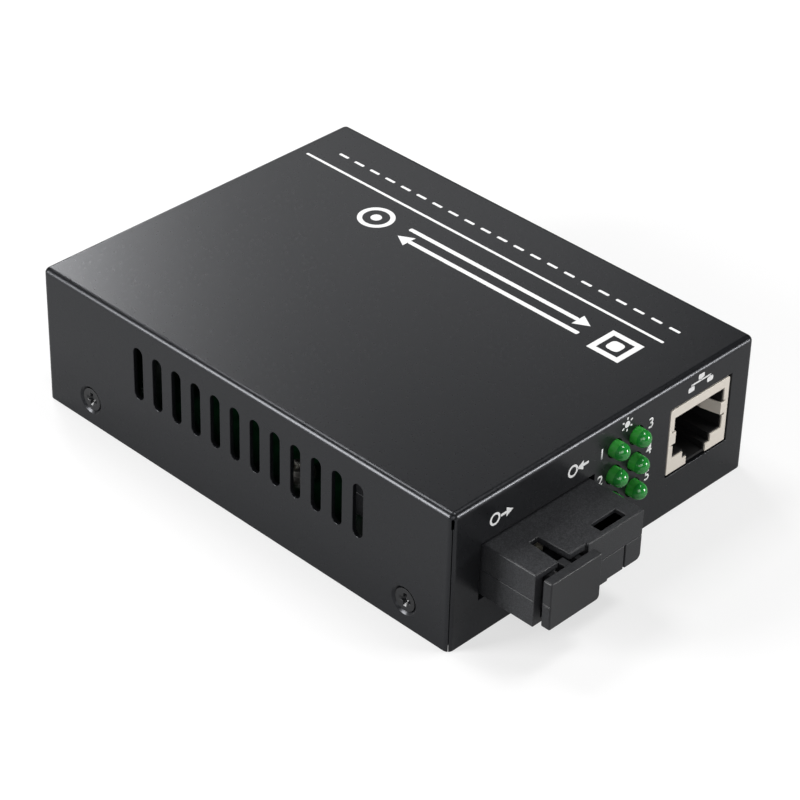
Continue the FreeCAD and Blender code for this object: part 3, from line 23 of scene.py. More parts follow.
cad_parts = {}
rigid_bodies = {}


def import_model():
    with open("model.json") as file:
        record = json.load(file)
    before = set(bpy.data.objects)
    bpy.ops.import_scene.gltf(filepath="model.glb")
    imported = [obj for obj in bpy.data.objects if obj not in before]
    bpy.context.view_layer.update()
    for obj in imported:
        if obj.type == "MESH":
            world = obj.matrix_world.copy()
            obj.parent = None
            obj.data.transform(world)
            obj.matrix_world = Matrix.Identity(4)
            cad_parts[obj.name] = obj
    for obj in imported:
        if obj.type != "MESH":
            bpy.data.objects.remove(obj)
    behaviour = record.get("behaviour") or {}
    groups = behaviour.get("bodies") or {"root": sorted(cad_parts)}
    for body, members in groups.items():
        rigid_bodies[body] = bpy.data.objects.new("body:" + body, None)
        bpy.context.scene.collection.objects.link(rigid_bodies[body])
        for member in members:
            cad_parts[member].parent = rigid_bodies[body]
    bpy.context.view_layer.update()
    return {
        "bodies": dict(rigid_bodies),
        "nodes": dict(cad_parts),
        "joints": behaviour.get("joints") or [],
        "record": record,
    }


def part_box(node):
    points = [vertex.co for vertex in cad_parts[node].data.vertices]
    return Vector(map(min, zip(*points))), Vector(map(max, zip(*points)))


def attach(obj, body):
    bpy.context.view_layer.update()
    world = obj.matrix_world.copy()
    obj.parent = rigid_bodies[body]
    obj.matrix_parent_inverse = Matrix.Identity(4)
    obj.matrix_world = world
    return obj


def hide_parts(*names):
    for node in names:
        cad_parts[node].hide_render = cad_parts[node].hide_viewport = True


LOG = logging.getLogger("fibre_media_converter")
MM = 0.001
CASE = "case"
PLUG = "plug"
GLOW_DEPTH_MM = 0.6  # how far light goes into a cloudy plastic
FLECK_FROM, FLECK_TO = 0.4, 0.68  # the grain's levels between which the second colour comes in
PICTURE = 800  # the camera's focal length and aim are in this many parts of a picture
SENSOR_MM = 36.0


# ---------------------------------------------------------------- colour and nodes
def linear(hex_colour: str) -> tuple[float, float, float, float]:
    """Turns an sRGB hex colour to linear values.

    Args:
        hex_colour: six hex digits after a hash sign.

    Returns:
        Linear red, green and blue, and an alpha of 1.
    """
    parts = [int(hex_colour[i : i + 2], 16) / 255 for i in (1, 3, 5)]
    bent = [p / 12.92 if p <= 0.04045 else ((p + 0.055) / 1.055) ** 2.4 for p in parts]
    return (bent[0], bent[1], bent[2], 1.0)


def add_node(tree: bpy.types.NodeTree, kind: str, inputs: dict | None = None, **settings: object) -> bpy.types.Node:
    """Adds one node with its settings and links.

    Args:
        tree: the node tree to add to.
        kind: the node's type name.
        inputs: values for its sockets, or other nodes' output sockets to link.
        settings: attributes of the node itself.

    Returns:
        The new node.
    """
    node = tree.nodes.new(kind)
    for name, value in settings.items():
        setattr(node, name, value)
    for key, value in (inputs or {}).items():
        if isinstance(value, bpy.types.NodeSocket):
            tree.links.new(value, node.inputs[key])
        else:
            node.inputs[key].default_value = value
    return node


# ---------------------------------------------------------------- finishes
@dataclass(frozen=True)
class Finish:
    """A surface: one shader whose sockets hold plain values, with a fine grain in relief.

    Attributes:
        name: the material's name.
        slot: a slot's name; not used.
        colour: its colour in hex.
        roughness: how wide its shine spreads.
        metallic: how much it reflects as a metal.
        ior: how strongly its skin reflects.
        coat: a clear coat over it.
        subsurface: how much light goes round inside it.
        grain_mm: the size of its grain, if it has one.
        grain_height_mm: how high the grain stands.
        mottle: how far the grain changes the roughness either way.
        fleck: a second colour, in the grain's high spots.
        gloss_tint: the tint of its shine.
    """

    name: str
    slot: str
    colour: str
    roughness: float
    metallic: float = 0.0
    ior: float = 1.5
    coat: float = 0.0
    subsurface: float = 0.0
    grain_mm: float = 0.0
    grain_height_mm: float = 0.0
    mottle: float = 0.0
    fleck: str = ""
    gloss_tint: str = "#ffffff"

    def material(self) -> bpy.types.Material:
        """Returns the finish's material, made on first use."""
        known = bpy.data.materials.get(self.name)
        if known:
            return known
        material = bpy.data.materials.new(self.name)
        material.use_nodes = True
        tree = material.node_tree
        tree.nodes.clear()
        shader = add_node(
            tree,
            "ShaderNodeBsdfPrincipled",
            {
                "Base Color": linear(self.colour),
                "Roughness": self.roughness,
                "Metallic": self.metallic,
                "IOR": self.ior,
                "Specular Tint": linear(self.gloss_tint),
                "Coat Weight": self.coat,
                "Subsurface Weight": self.subsurface,
            },
        )
        if self.subsurface:
            shader.inputs["Subsurface Scale"].default_value = GLOW_DEPTH_MM * MM
            shader.inputs["Subsurface Radius"].default_value = (1.0, 1.0, 1.0)
        if self.grain_mm:
            self.add_grain(tree, shader)
        add_node(tree, "ShaderNodeOutputMaterial", {"Surface": shader.outputs["BSDF"]})
        return material

    def add_grain(self, tree: bpy.types.NodeTree, shader: bpy.types.Node) -> None:
        """Lays the grain over the shader: relief, a slight change of roughness and the flecks.

        Args:
            tree: the material's node tree.
            shader: its surface shader.
        """
        place = add_node(tree, "ShaderNodeTexCoord")
        grain = add_node(
            tree,
            "ShaderNodeTexNoise",
            {"Vector": place.outputs["Object"], "Scale": 1 / (self.grain_mm * MM), "Detail": 2.0, "Roughness": 0.6},
        )
        bump = add_node(
            tree,
            "ShaderNodeBump",
            {"Height": grain.outputs["Fac"], "Distance": self.grain_height_mm * MM, "Strength": 1.0},
        )
        tree.links.new(bump.outputs["Normal"], shader.inputs["Normal"])
        if self.mottle:
            spread = add_node(
                tree,
                "ShaderNodeMapRange",
                {
                    "Value": grain.outputs["Fac"],
                    "From Min": 0.3,
                    "From Max": 0.7,
                    "To Min": self.roughness - self.mottle,
                    "To Max": self.roughness + self.mottle,
                },
            )
            tree.links.new(spread.outputs["Result"], shader.inputs["Roughness"])
        if self.fleck:
            share = add_node(
                tree,
                "ShaderNodeMapRange",
                {"Value": grain.outputs["Fac"], "From Min": FLECK_FROM, "From Max": FLECK_TO},
            )
            colour = add_node(
                tree,
                "ShaderNodeMix",
                {0: share.outputs["Result"], 6: linear(self.colour), 7: linear(self.fleck)},
                data_type="RGBA",
            )
            tree.links.new(colour.outputs[2], shader.inputs["Base Color"])


# Black polyester powder coat baked on steel: a fine pebbled skin, near black, with a satin sheen.
POWDER_COAT = Finish(
    "powder_coat",
    "case_paint",
    "#131416",
    0.3,
    grain_mm=0.5,
    grain_height_mm=0.003,
    mottle=0.03,
    gloss_tint="#f6f8ff",
)
# Black-painted steel screws: as dark as the case, a little glossier.
SCREW_STEEL = Finish("black_painted_steel", "screw_steel", "#161719", 0.34, ior=1.6)
# Zinc-plated steel: pale and slightly cloudy.
ZINC_PLATE = Finish(
    "zinc_plate", "plated_steel", "#c3c2bd", 0.35, metallic=1.0, grain_mm=0.6, grain_height_mm=0.003, mottle=0.08
)
# Glass-filled nylon from a spark-eroded mould: matte charcoal, evenly speckled.
MODULE_NYLON = Finish(
    "module_nylon",
    "module_plastic",
    "#1e1f21",
    0.46,
    grain_mm=0.18,
    grain_height_mm=0.012,
    mottle=0.08,
    fleck="#3c3d40",
)
# The same nylon from a finer mould: a little smoother.
PLUG_NYLON = Finish(
    "plug_nylon",
    "plug_plastic",
    "#1a1b1d",
    0.42,
    grain_mm=0.18,
    grain_height_mm=0.01,
    mottle=0.06,
    fleck="#2c2d30",
)
# Unfilled resin clip: milky cream, light goes a little way in.
CLIP_RESIN = Finish("clip_resin", "clip_plastic", "#cfcab8", 0.45, subsurface=0.1)
# Polished zirconia: dense white with a sharp gloss.
ZIRCONIA = Finish("zirconia", "white_ceramic", "#eeeeea", 0.15, ior=2.1)
# Thin gold over nickel: yellow, mirror-bright.
GOLD_PLATE = Finish("gold_plate", "contact_gold", "#e0b763", 0.25, metallic=1.0)
# Gold-flashed can: paler and softer than the contacts.
CAN_GOLD = Finish("can_gold", "can_metal", "#d8b46a", 0.3, metallic=1.0)
# Turned stainless steel: grey, with fine rings that spread its shine.
TURNED_STEEL = Finish(
    "turned_steel", "block_metal", "#b4b4b4", 0.35, metallic=1.0, grain_mm=0.3, grain_height_mm=0.002
)
# Bright nickel on rolled brass strip: warm cream white, almost smooth.
NICKEL_STRIP = Finish(
    "nickel_strip",
    "socket_shield",
    "#f6eee2",
    0.28,
    metallic=0.25,
    grain_mm=1.2,
    grain_height_mm=0.001,
)
# Glass-filled socket resin: black and dull.
SOCKET_RESIN = Finish("socket_resin", "socket_plastic", "#0c0c0d", 0.5, grain_mm=0.3, grain_height_mm=0.004)
# Cast epoxy, dyed green and lightly clouded: glossy, it carries light round inside.
LENS_EPOXY = Finish("lens_epoxy", "green_lens", "#46b04a", 0.06, subsurface=1.0, ior=1.54)
# The same epoxy at the polished dome, painted a deeper green as painted shade for the dark inside that a clear dome
# shows; its sharp lamp reflections are real.
LENS_DOME_PAINTED_SHADE = Finish("lens_dome_painted_shade", "green_lens", "#27913a", 0.02, subsurface=0.3, ior=1.7)
# Hot-tinned copper leads: soft silver.
TINNED_WIRE = Finish("tinned_wire", "tinned_wire", "#c9c9c7", 0.3, metallic=1.0)
# Black resin block behind the lights.
HOLDER_RESIN = Finish("holder_resin", "holder_plastic", "#101011", 0.5, grain_mm=0.3, grain_height_mm=0.004)
# Black resin inlet: satin.
JACK_RESIN = Finish("jack_resin", "jack_plastic", "#121213", 0.4, grain_mm=0.3, grain_height_mm=0.004)
# Nickelled brass pin and leaf: bright, slightly yellow.
JACK_NICKEL = Finish("jack_nickel", "jack_metal", "#d5d1c8", 0.25, metallic=1.0)
# Glass-epoxy board under green solder resist: glossy, over a faint weave. Its green is darkened almost to black as
# painted shade, so that the inside of the case looks dark through the vents.
SHADED_SOLDER_RESIST = Finish(
    "solder_resist_painted_shade", "board_laminate", "#08301a", 0.3, coat=0.3, grain_mm=0.5, grain_height_mm=0.002
)
# Moulded epoxy chip bodies: charcoal, sandy.
CHIP_EPOXY = Finish("chip_epoxy", "chip_epoxy", "#1b1b1d", 0.6, grain_mm=0.15, grain_height_mm=0.004)
# Drawn aluminium cans: pale and satin.
CAN_ALUMINIUM = Finish("can_aluminium", "can_aluminium", "#c7cacc", 0.35, metallic=1.0)
# Pressed ferrite: dark grey and grainy.
FERRITE = Finish("ferrite", "ferrite", "#3b3b3d", 0.65, grain_mm=0.2, grain_height_mm=0.006)
# Black glaze over thick film.
RESISTOR_GLAZE = Finish("resistor_glaze", "resistor_black", "#191919", 0.3)
# Fired ceramic: tan, eggshell.
CAPACITOR_CERAMIC = Finish("capacitor_ceramic", "capacitor_tan", "#a3835a", 0.45)
# Screen-printed epoxy ink: flat white with slightly uneven cover.
SCREEN_INK = Finish("screen_ink", "case_paint", "#f2f2f2", 0.6, grain_mm=0.4, grain_height_mm=0.004)


# ---------------------------------------------------------------- mesh helpers
def deselect_all() -> None:
    """Leaves nothing selected, out of edit mode."""
    if bpy.context.object and bpy.context.object.mode != "OBJECT":
        bpy.ops.object.mode_set(mode="OBJECT")
    bpy.ops.object.select_all(action="DESELECT")


def make_active(obj: bpy.types.Object) -> None:
    """Selects only obj and makes it active."""
    deselect_all()
    obj.select_set(True)
    bpy.context.view_layer.objects.active = obj


def settle(obj: bpy.types.Object) -> None:
    """Puts the object's place into its mesh, so that it sits at the origin."""
    make_active(obj)
    bpy.ops.object.transform_apply(location=True, rotation=True, scale=True)


def smooth(obj: bpy.types.Object, degrees: float = 35.0) -> None:
    """Shades curved faces smooth and leaves edges sharper than the angle."""
    make_active(obj)
    bpy.ops.object.shade_smooth_by_angle(angle=math.radians(degrees))


def select_faces(obj: bpy.types.Object, wanted: Callable[[bmesh.types.BMFace], bool]) -> None:
    """Goes into edit mode with only the wanted faces selected.

    Args:
        obj: the piece.
        wanted: tells whether a face is to be selected.
    """
    make_active(obj)
    bpy.ops.object.mode_set(mode="EDIT")
    bpy.ops.mesh.select_mode(type="FACE")
    bpy.ops.mesh.select_all(action="DESELECT")
    mesh = bmesh.from_edit_mesh(obj.data)
    for face in mesh.faces:
        face.select_set(wanted(face))
    bmesh.update_edit_mesh(obj.data)


def dressed(obj: bpy.types.Object, name: str, finish: Finish, body: str) -> bpy.types.Object:
    """Names a finished piece, gives it one finish and hangs it on a body.

    Args:
        obj: the piece, in place.
        name: its new name.
        finish: its surface.
        body: the CAD body that it moves with.

    Returns:
        The same piece.
    """
    obj.name = name
    obj.data.name = name
    obj.data.materials.clear()
    obj.data.materials.append(finish.material())
    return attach(obj, body)


# ---------------------------------------------------------------- sub-assemblies
@dataclass
class Assembly:
    """Pieces that belong together and ride on one body."""

    frame: dict
    body: str = CASE
    done: list[str] = field(default_factory=list)

    def paint(self, finish: Finish, names: Iterable[str]) -> None:
        """Gives solids their finish, as they are.

        Args:
            finish: their surface.
            names: the nodes' names.
        """
        for name in names:
            obj = self.frame["nodes"][name]
            obj.data.materials.clear()
            obj.data.materials.append(finish.material())
            self.done.append(name)

    def soften(self, node: str, finish: Finish, width_mm: float, crease: float = 35.0) -> bpy.types.Object:
        """Stands a copy with rounded edges in a solid's place.

        Args:
            node: the solid's name.
            finish: its surface.
            width_mm: how wide each edge's rounding is.
            crease: edges that turn further than this, in degrees, stay sharp.

        Returns:
            The new piece.
        """
        obj = bpy.data.objects.new(node, self.frame["nodes"][node].data.copy())
        bpy.context.scene.collection.objects.link(obj)
        make_active(obj)
        bpy.ops.object.mode_set(mode="EDIT")
        bpy.ops.mesh.select_all(action="SELECT")
        bpy.ops.mesh.remove_doubles(threshold=0.002 * MM)
        bpy.ops.mesh.dissolve_limited(angle_limit=math.radians(0.5))
        bpy.ops.object.mode_set(mode="OBJECT")
        bevel = obj.modifiers.new("edges", "BEVEL")
        bevel.width = width_mm * MM
        bevel.segments = 2
        bevel.limit_method = "ANGLE"
        bevel.angle_limit = math.radians(40)
        bevel.use_clamp_overlap = False
        solid = BVHTree.FromPolygons(
            [vertex.co[:] for vertex in obj.data.vertices], [face.vertices[:] for face in obj.data.polygons]
        )
        bpy.ops.object.modifier_apply(modifier=bevel.name)
        # A corner that the rounding throws out of place goes back onto the solid.
        for vertex in obj.data.vertices:
            nearest, _, _, away = solid.find_nearest(vertex.co)
            if away > width_mm * MM:
                vertex.co = nearest
        smooth(obj, crease)
        level = obj.modifiers.new("level_faces", "WEIGHTED_NORMAL")
        level.keep_sharp = True
        bpy.ops.object.modifier_apply(modifier=level.name)
        piece = dressed(obj, f"{node}_soft", finish, self.body)
        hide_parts(node)
        self.done.append(piece.name)
        return piece


@dataclass
class CaseShell(Assembly):
    """The folded cover, the base plate and the screws between them."""

    coat_edge_mm: float = 0.09
    screw_edge_mm: float = 0.08

    def build(self) -> list[str]:
        """Dresses the sheet metal and its screws."""
        self.soften("top_cover", POWDER_COAT, self.coat_edge_mm)
        self.paint(POWDER_COAT, ["base_plate"])
        self.soften("cover_screws", SCREW_STEEL, self.screw_edge_mm)
        return self.done


@dataclass
class CircuitBoard(Assembly):
    """The main board with its fixings and small parts."""

    cans: int = 3

    def build(self) -> list[str]:
        """Gives each part on the board its own surface."""
        # The board's near-black green is painted shade for the dark inside of the case.
        self.paint(SHADED_SOLDER_RESIST, ["main_board"])
        self.paint(ZINC_PLATE, ["board_standoffs", "board_screws", "crystal"])
        self.paint(CHIP_EPOXY, ["switch_chip", "magnetics_body", "regulator", "converter_chip", "rectifier_diode"])
        self.paint(TINNED_WIRE, ["switch_chip_leads", "magnetics_leads", "regulator_leads", "converter_chip_leads"])
        self.paint(CAN_ALUMINIUM, [f"filter_capacitor_{i + 1}" for i in range(self.cans)])
        self.paint(FERRITE, ["power_inductor"])
        self.paint(RESISTOR_GLAZE, ["chip_resistors"])
        self.paint(CAPACITOR_CERAMIC, ["chip_capacitors"])
        return self.done


@dataclass
class FibreModule(Assembly):
    """The optical module: two nylon halves round the clip, the sleeve and the optics."""

    edge_mm: float = 0.14

    def build(self) -> list[str]:
        """Dresses the module from its housing inwards."""
        self.soften("module_upper_housing", MODULE_NYLON, self.edge_mm)
        self.soften("module_lower_housing", MODULE_NYLON, self.edge_mm)
        self.paint(CLIP_RESIN, ["sc_latch_insert"])
        self.paint(ZIRCONIA, ["alignment_sleeve", "fibre_stub"])
        self.paint(TURNED_STEEL, ["optical_block"])
        self.paint(CAN_GOLD, ["laser_can", "detector_can"])
        self.paint(SHADED_SOLDER_RESIST, ["module_board"])
        self.paint(CHIP_EPOXY, ["module_chip"])
        self.paint(GOLD_PLATE, ["module_pins"])
        return self.done


@dataclass
class DustPlug(Assembly):
    """The pull-out plug in the fibre port."""

    body: str = PLUG
    edge_mm: float = 0.14

    def build(self) -> list[str]:
        """Dresses the plug."""
        self.soften("dust_plug", PLUG_NYLON, self.edge_mm)
        return self.done


@dataclass
class CopperSocket(Assembly):
    """The shielded socket for the network lead."""

    fold_mm: float = 0.05

    def build(self) -> list[str]:
        """Dresses the shield, the block and the eight wires."""
        self.soften("rj45_shield", NICKEL_STRIP, self.fold_mm, crease=12.0)
        self.paint(SOCKET_RESIN, ["rj45_housing"])
        self.paint(GOLD_PLATE, ["rj45_contacts"])
        return self.done


@dataclass
class StatusLights(Assembly):
    """Six lights in a block: each a flanged barrel of epoxy with a domed end."""

    count: int = 6
    flange_deep_mm: float = 1.0
    flange_out_mm: float = 0.4
    sides: int = 64
    steps: int = 14
    dome_share: float = 0.985  # the dome's radius against the barrel's, short of a closed point

    def build(self) -> list[str]:
        """Makes the lenses and dresses what carries them."""
        for number in range(1, self.count + 1):
            self.lens(f"led_lens_{number}")
        self.paint(TINNED_WIRE, [f"led_leads_{i + 1}" for i in range(self.count)])
        self.paint(HOLDER_RESIN, ["led_holder"])
        return self.done

    def lens(self, node: str) -> bpy.types.Object:
        """One lens, turned finely enough that its dome shows no flats.

        Args:
            node: the solid that it stands for.

        Returns:
            The lens.
        """
        low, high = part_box(node)
        middle = (Vector(low) + Vector(high)) / 2
        deep = self.flange_deep_mm * MM
        flange = (high[0] - low[0]) / 2
        barrel = flange - self.flange_out_mm * MM
        deselect_all()
        bpy.ops.mesh.primitive_cylinder_add(
            vertices=self.sides,
            radius=flange,
            depth=deep,
            location=(middle.x, high[1] - deep / 2, middle.z),
            rotation=(math.pi / 2, 0, 0),
        )
        obj = bpy.context.object
        settle(obj)
        select_faces(obj, lambda face: face.normal.y < -0.9)
        bpy.ops.mesh.inset(thickness=self.flange_out_mm * MM)
        reach = (high[1] - low[1]) - deep
        bpy.ops.mesh.extrude_region_move(TRANSFORM_OT_translate={"value": (0, -reach, 0)})
        bpy.ops.mesh.bevel(offset=barrel * self.dome_share, segments=self.steps, affect="EDGES", profile=0.5)
        bpy.ops.object.mode_set(mode="OBJECT")
        smooth(obj, 40.0)
        piece = dressed(obj, f"{node}_dome", LENS_EPOXY, self.body)
        # The faces in front of the barrel's end take the polished dome's finish, whose deeper green is painted
        # shade.
        piece.data.materials.append(LENS_DOME_PAINTED_SHADE.material())
        for face in piece.data.polygons:
            if face.center.y < low[1] + barrel:
                face.material_index = 1
        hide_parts(node)
        self.done.append(piece.name)
        return piece


@dataclass
class PowerInlet(Assembly):
    """The low-voltage inlet at the back."""

    def build(self) -> list[str]:
        """Dresses the inlet."""
        self.paint(JACK_RESIN, ["power_jack_housing"])
        self.paint(JACK_NICKEL, ["power_jack_pin", "power_jack_spring"])
        return self.done


# ---------------------------------------------------------------- print
class Mark(Enum):
    """What a printed mark says without words."""

    LIGHT_OUT = "light_out"
    LIGHT_IN = "light_in"
    LAMP = "lamp"
    NETWORK = "network"


@dataclass
class Stencil:
    """Flat ink shapes, drawn in millimetres on a sheet and laid on a face as one piece."""

    ink_mm: float = 0.02
    sink_mm: float = 0.005
    eased: float = 0.3  # a stroke's corner, against its width
    body_to_digit: float = 1.38  # the font's size, against its digits' height
    swell: float = 0.02  # how much a digit's outline grows, against its height
    shapes: list[bpy.types.Object] = field(default_factory=list)

    def keep(self) -> bpy.types.Object:
        """Takes the newest shape onto the sheet."""
        obj = bpy.context.object
        settle(obj)
        self.shapes.append(obj)
        return obj

    def bar(self, at: Sequence[float], length: float, width: float, turn: float = 0.0) -> None:
        """A straight stroke with its corners eased.

        Args:
            at: its middle on the sheet.
            length: how long it is.
            width: how wide it is.
            turn: its angle in degrees.
        """
        deselect_all()
        bpy.ops.mesh.primitive_plane_add(
            size=1, location=(at[0] * MM, at[1] * MM, 0), rotation=(0, 0, math.radians(turn))
        )
        bpy.context.object.scale = (length * MM, width * MM, 1)
        obj = self.keep()
        select_faces(obj, lambda face: True)
        bpy.ops.mesh.bevel(offset=width * self.eased * MM, segments=3, affect="VERTICES")
        bpy.ops.object.mode_set(mode="OBJECT")

    def ring(self, at: Sequence[float], radius: float, line: float, sides: int = 48, turn: float = 0.0) -> None:
        """A ring or, with few sides, the outline of a polygon.

        Args:
            at: its middle on the sheet.
            radius: its outer radius.
            line: how thick its line is; none is left open where the line fills it.
            sides: how many sides it has.
            turn: its angle in degrees.
        """
        deselect_all()
        bpy.ops.mesh.primitive_circle_add(
            vertices=sides,
            radius=radius * MM,
            fill_type="NGON",
            location=(at[0] * MM, at[1] * MM, 0),
            rotation=(0, 0, math.radians(turn)),
        )
        obj = self.keep()
        if line >= radius:
            return
        select_faces(obj, lambda face: True)
        bpy.ops.mesh.inset(thickness=line * MM)
        bpy.ops.mesh.delete(type="FACE")
        bpy.ops.object.mode_set(mode="OBJECT")

    def arrow(self, start: Sequence[float], end: Sequence[float], line: float, head: float) -> None:
        """A stroke with a solid head.

        Args:
            start: its tail on the sheet.
            end: its point.
            line: how thick the stroke is.
            head: the head's radius.
        """
        way = Vector(end) - Vector(start)
        turn = math.degrees(math.atan2(way.y, way.x))
        neck = Vector(end) - way.normalized() * head
        base = neck - way.normalized() * head / 2
        self.bar((Vector(start) + base) / 2, (base - Vector(start)).length, line, turn)
        self.ring(neck, head, head, sides=3, turn=turn - 90)

    def number(self, at: Sequence[float], value: int, tall: float) -> None:
        """A plain number.

        Args:
            at: its middle on the sheet.
            value: the number.
            tall: how tall the digits stand.
        """
        deselect_all()
        bpy.ops.object.text_add(location=(at[0] * MM, at[1] * MM, 0))
        text = bpy.context.object.data
        text.body = str(value)
        text.size = tall * self.body_to_digit * MM
        text.align_x = "CENTER"
        text.align_y = "CENTER"
        text.offset = tall * self.swell * MM
        bpy.ops.object.convert(target="MESH")
        self.keep()

    def lay(self, name: str, corner: Vector, right: Vector, up: Vector, body: str) -> bpy.types.Object:
        """Joins the shapes, thickens them to a film and lays it on a face.

        Args:
            name: the print's name.
            corner: where the sheet's origin lies.
            right: the sheet's first direction.
            up: its second direction.
            body: the CAD body that it moves with.

        Returns:
            The print.
        """
        deselect_all()
        for shape in self.shapes:
            shape.select_set(True)
        bpy.context.view_layer.objects.active = self.shapes[0]
        bpy.ops.object.join()
        obj = bpy.context.object
        select_faces(obj, lambda face: True)
        bpy.ops.mesh.normals_make_consistent(inside=False)
        bpy.ops.mesh.extrude_region_move(TRANSFORM_OT_translate={"value": (0, 0, self.ink_mm * MM)})
        bpy.ops.mesh.select_all(action="SELECT")
        bpy.ops.mesh.normals_make_consistent(inside=False)
        bpy.ops.object.mode_set(mode="OBJECT")
        out = right.cross(up)
        turn = Matrix((right, up, out)).transposed().to_4x4()
        obj.matrix_world = Matrix.Translation(corner - out * self.sink_mm * MM) @ turn
        settle(obj)
        return dressed(obj, name, SCREEN_INK, body)


@dataclass
class ScreenPrint(Assembly):
    """White marks without words: a rule and a diagram on top, and signs by the ports and lights."""

    rule_x_mm: float = 22.5
    rule_from_mm: float = 8.7
    rule_to_mm: float = 91.0
    rule_line_mm: float = 0.55
    diagram_x_mm: float = 16.1
    diagram_from_mm: float = 10.0
    diagram_to_mm: float = 70.6
    diagram_tall_mm: float = 6.6
    diagram_line_mm: float = 0.9
    dashes_x_mm: float = 26.6
    dash_mm: float = 2.2
    dash_gap_mm: float = 1.6
    digit_mm: float = 1.95
    digits: tuple[tuple[float, float, int], ...] = (
        (-1.7, 20.6, 1),
        (-1.7, 15.5, 2),
        (9.9, 20.9, 3),
        (9.9, 15.8, 4),
        (9.9, 10.7, 5),
    )
    signs: tuple[tuple[Mark, float, float], ...] = (
        (Mark.LIGHT_OUT, -24.3, 20.9),
        (Mark.LIGHT_IN, -6.9, 20.9),
        (Mark.LAMP, 4.0, 23.6),
        (Mark.NETWORK, 21.8, 23.5),
    )

    def build(self) -> list[str]:
        """Prints the top and the front."""
        self.top_print()
        self.front_print()
        return self.done

    def top_print(self) -> None:
        """The long rule, the diagram beside it and a dashed line beyond it."""
        low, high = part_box("top_cover")
        sheet = Stencil()
        self.rule(sheet)
        self.diagram(sheet)
        self.dashes(sheet)
        corner = Vector(((low[0] + high[0]) / 2, low[1], high[2]))
        piece = sheet.lay("top_print", corner, Vector((1, 0, 0)), Vector((0, 1, 0)), self.body)
        self.done.append(piece.name)

    def rule(self, sheet: Stencil) -> None:
        """The long thin rule."""
        length = self.rule_to_mm - self.rule_from_mm
        middle = (self.rule_to_mm + self.rule_from_mm) / 2
        sheet.bar((self.rule_x_mm, middle), length, self.rule_line_mm, 90)

    def diagram(self, sheet: Stencil) -> None:
        """A square socket and a round fibre, joined by a pair of arrows."""
        x, line = self.diagram_x_mm, self.diagram_line_mm
        half = self.diagram_tall_mm / 2
        near, far = self.diagram_from_mm + half, self.diagram_to_mm - half
        sheet.ring((x, near), half * math.sqrt(2), line * 1.2, sides=4, turn=45)
        sheet.bar((x, near), half * 0.8, half * 0.8)
        sheet.ring((x, far), half, line)
        sheet.ring((x, far), half * 0.3, half * 0.3, sides=32)
        aside = half * 0.45
        sheet.arrow((x - aside, near + half * 2), (x - aside, far - half * 2), line, half * 0.55)
        sheet.arrow((x + aside, far - half * 2), (x + aside, near + half * 2), line, half * 0.55)

    def dashes(self, sheet: Stencil) -> None:
        """A dashed line as long as the rule."""
        step = self.dash_mm + self.dash_gap_mm
        count = int((self.rule_to_mm - self.rule_from_mm) / step)
        for i in range(count):
            y = self.rule_from_mm + self.dash_mm / 2 + step * i
            sheet.bar((self.dashes_x_mm, y), self.dash_mm, self.rule_line_mm, 90)

    def front_print(self) -> None:
        """Signs over the ports and the lights, and a number beside five of the six lights."""
        low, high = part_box("top_cover")
        corner = Vector(((low[0] + high[0]) / 2, low[1], 0))
        sheet = Stencil()
        for mark, x, z in self.signs:
            self.sign(sheet, mark, (x, z))
        for x, z, value in self.digits:
            sheet.number((x, z), value, self.digit_mm)
        piece = sheet.lay("front_print", corner, Vector((1, 0, 0)), Vector((0, 0, 1)), self.body)
        self.done.append(piece.name)

    def sign(self, sheet: Stencil, mark: Mark, at: Sequence[float]) -> None:
        """One of the signs on the front.

        Args:
            sheet: where it is drawn.
            mark: which sign.
            at: its middle.
        """
        x, z = at
        if mark is Mark.NETWORK:
            # Three boxes hang from one line, the middle one above it.
            line = 0.32
            for dx, dz in ((0, 0.8), (-2.3, -0.8), (2.3, -0.8)):
                sheet.bar((x + dx, z + dz), 1.5, 0.95)
                sheet.bar((x + dx, z + dz * 0.2), line * 0.9, line, 90)
            sheet.bar((x, z), 4.9, line)
        elif mark is Mark.LAMP:
            # A dot with six rays.
            sheet.ring((x, z), 0.6, 0.6, sides=24)
            for turn in range(0, 360, 60):
                way = math.radians(turn + 30)
                sheet.bar((x + math.cos(way) * 1.1, z + math.sin(way) * 1.1), 0.5, 0.3, turn + 30)
        else:
            # A fibre's end, with an arrow away from it or towards it.
            way = 1 if mark is Mark.LIGHT_OUT else -1
            sheet.ring((x - 1.5, z), 1.15, 0.4)
            sheet.arrow((x + 0.95 - way * 1.2, z), (x + 0.95 + way * 1.55, z), 0.5, 1.0)


# ---------------------------------------------------------------- studio
@dataclass(frozen=True)
class SoftBox:
    """A rectangular lamp: where it hangs, how big it is and how bright its face is."""

    name: str
    place: tuple[float, float, float]
    size: tuple[float, float]
    brightness: float

    def hang(self, aim: Vector) -> None:
        """Hangs the lamp facing a point."""
        deselect_all()
        bpy.ops.object.light_add(type="AREA", location=self.place)
        lamp = bpy.context.object
        lamp.name = self.name
        lamp.data.shape = "RECTANGLE"
        lamp.data.size, lamp.data.size_y = self.size
        lamp.data.energy = self.brightness * math.pi * self.size[0] * self.size[1]
        lamp.rotation_euler = (Vector(self.place) - aim).to_track_quat("Z", "Y").to_euler()


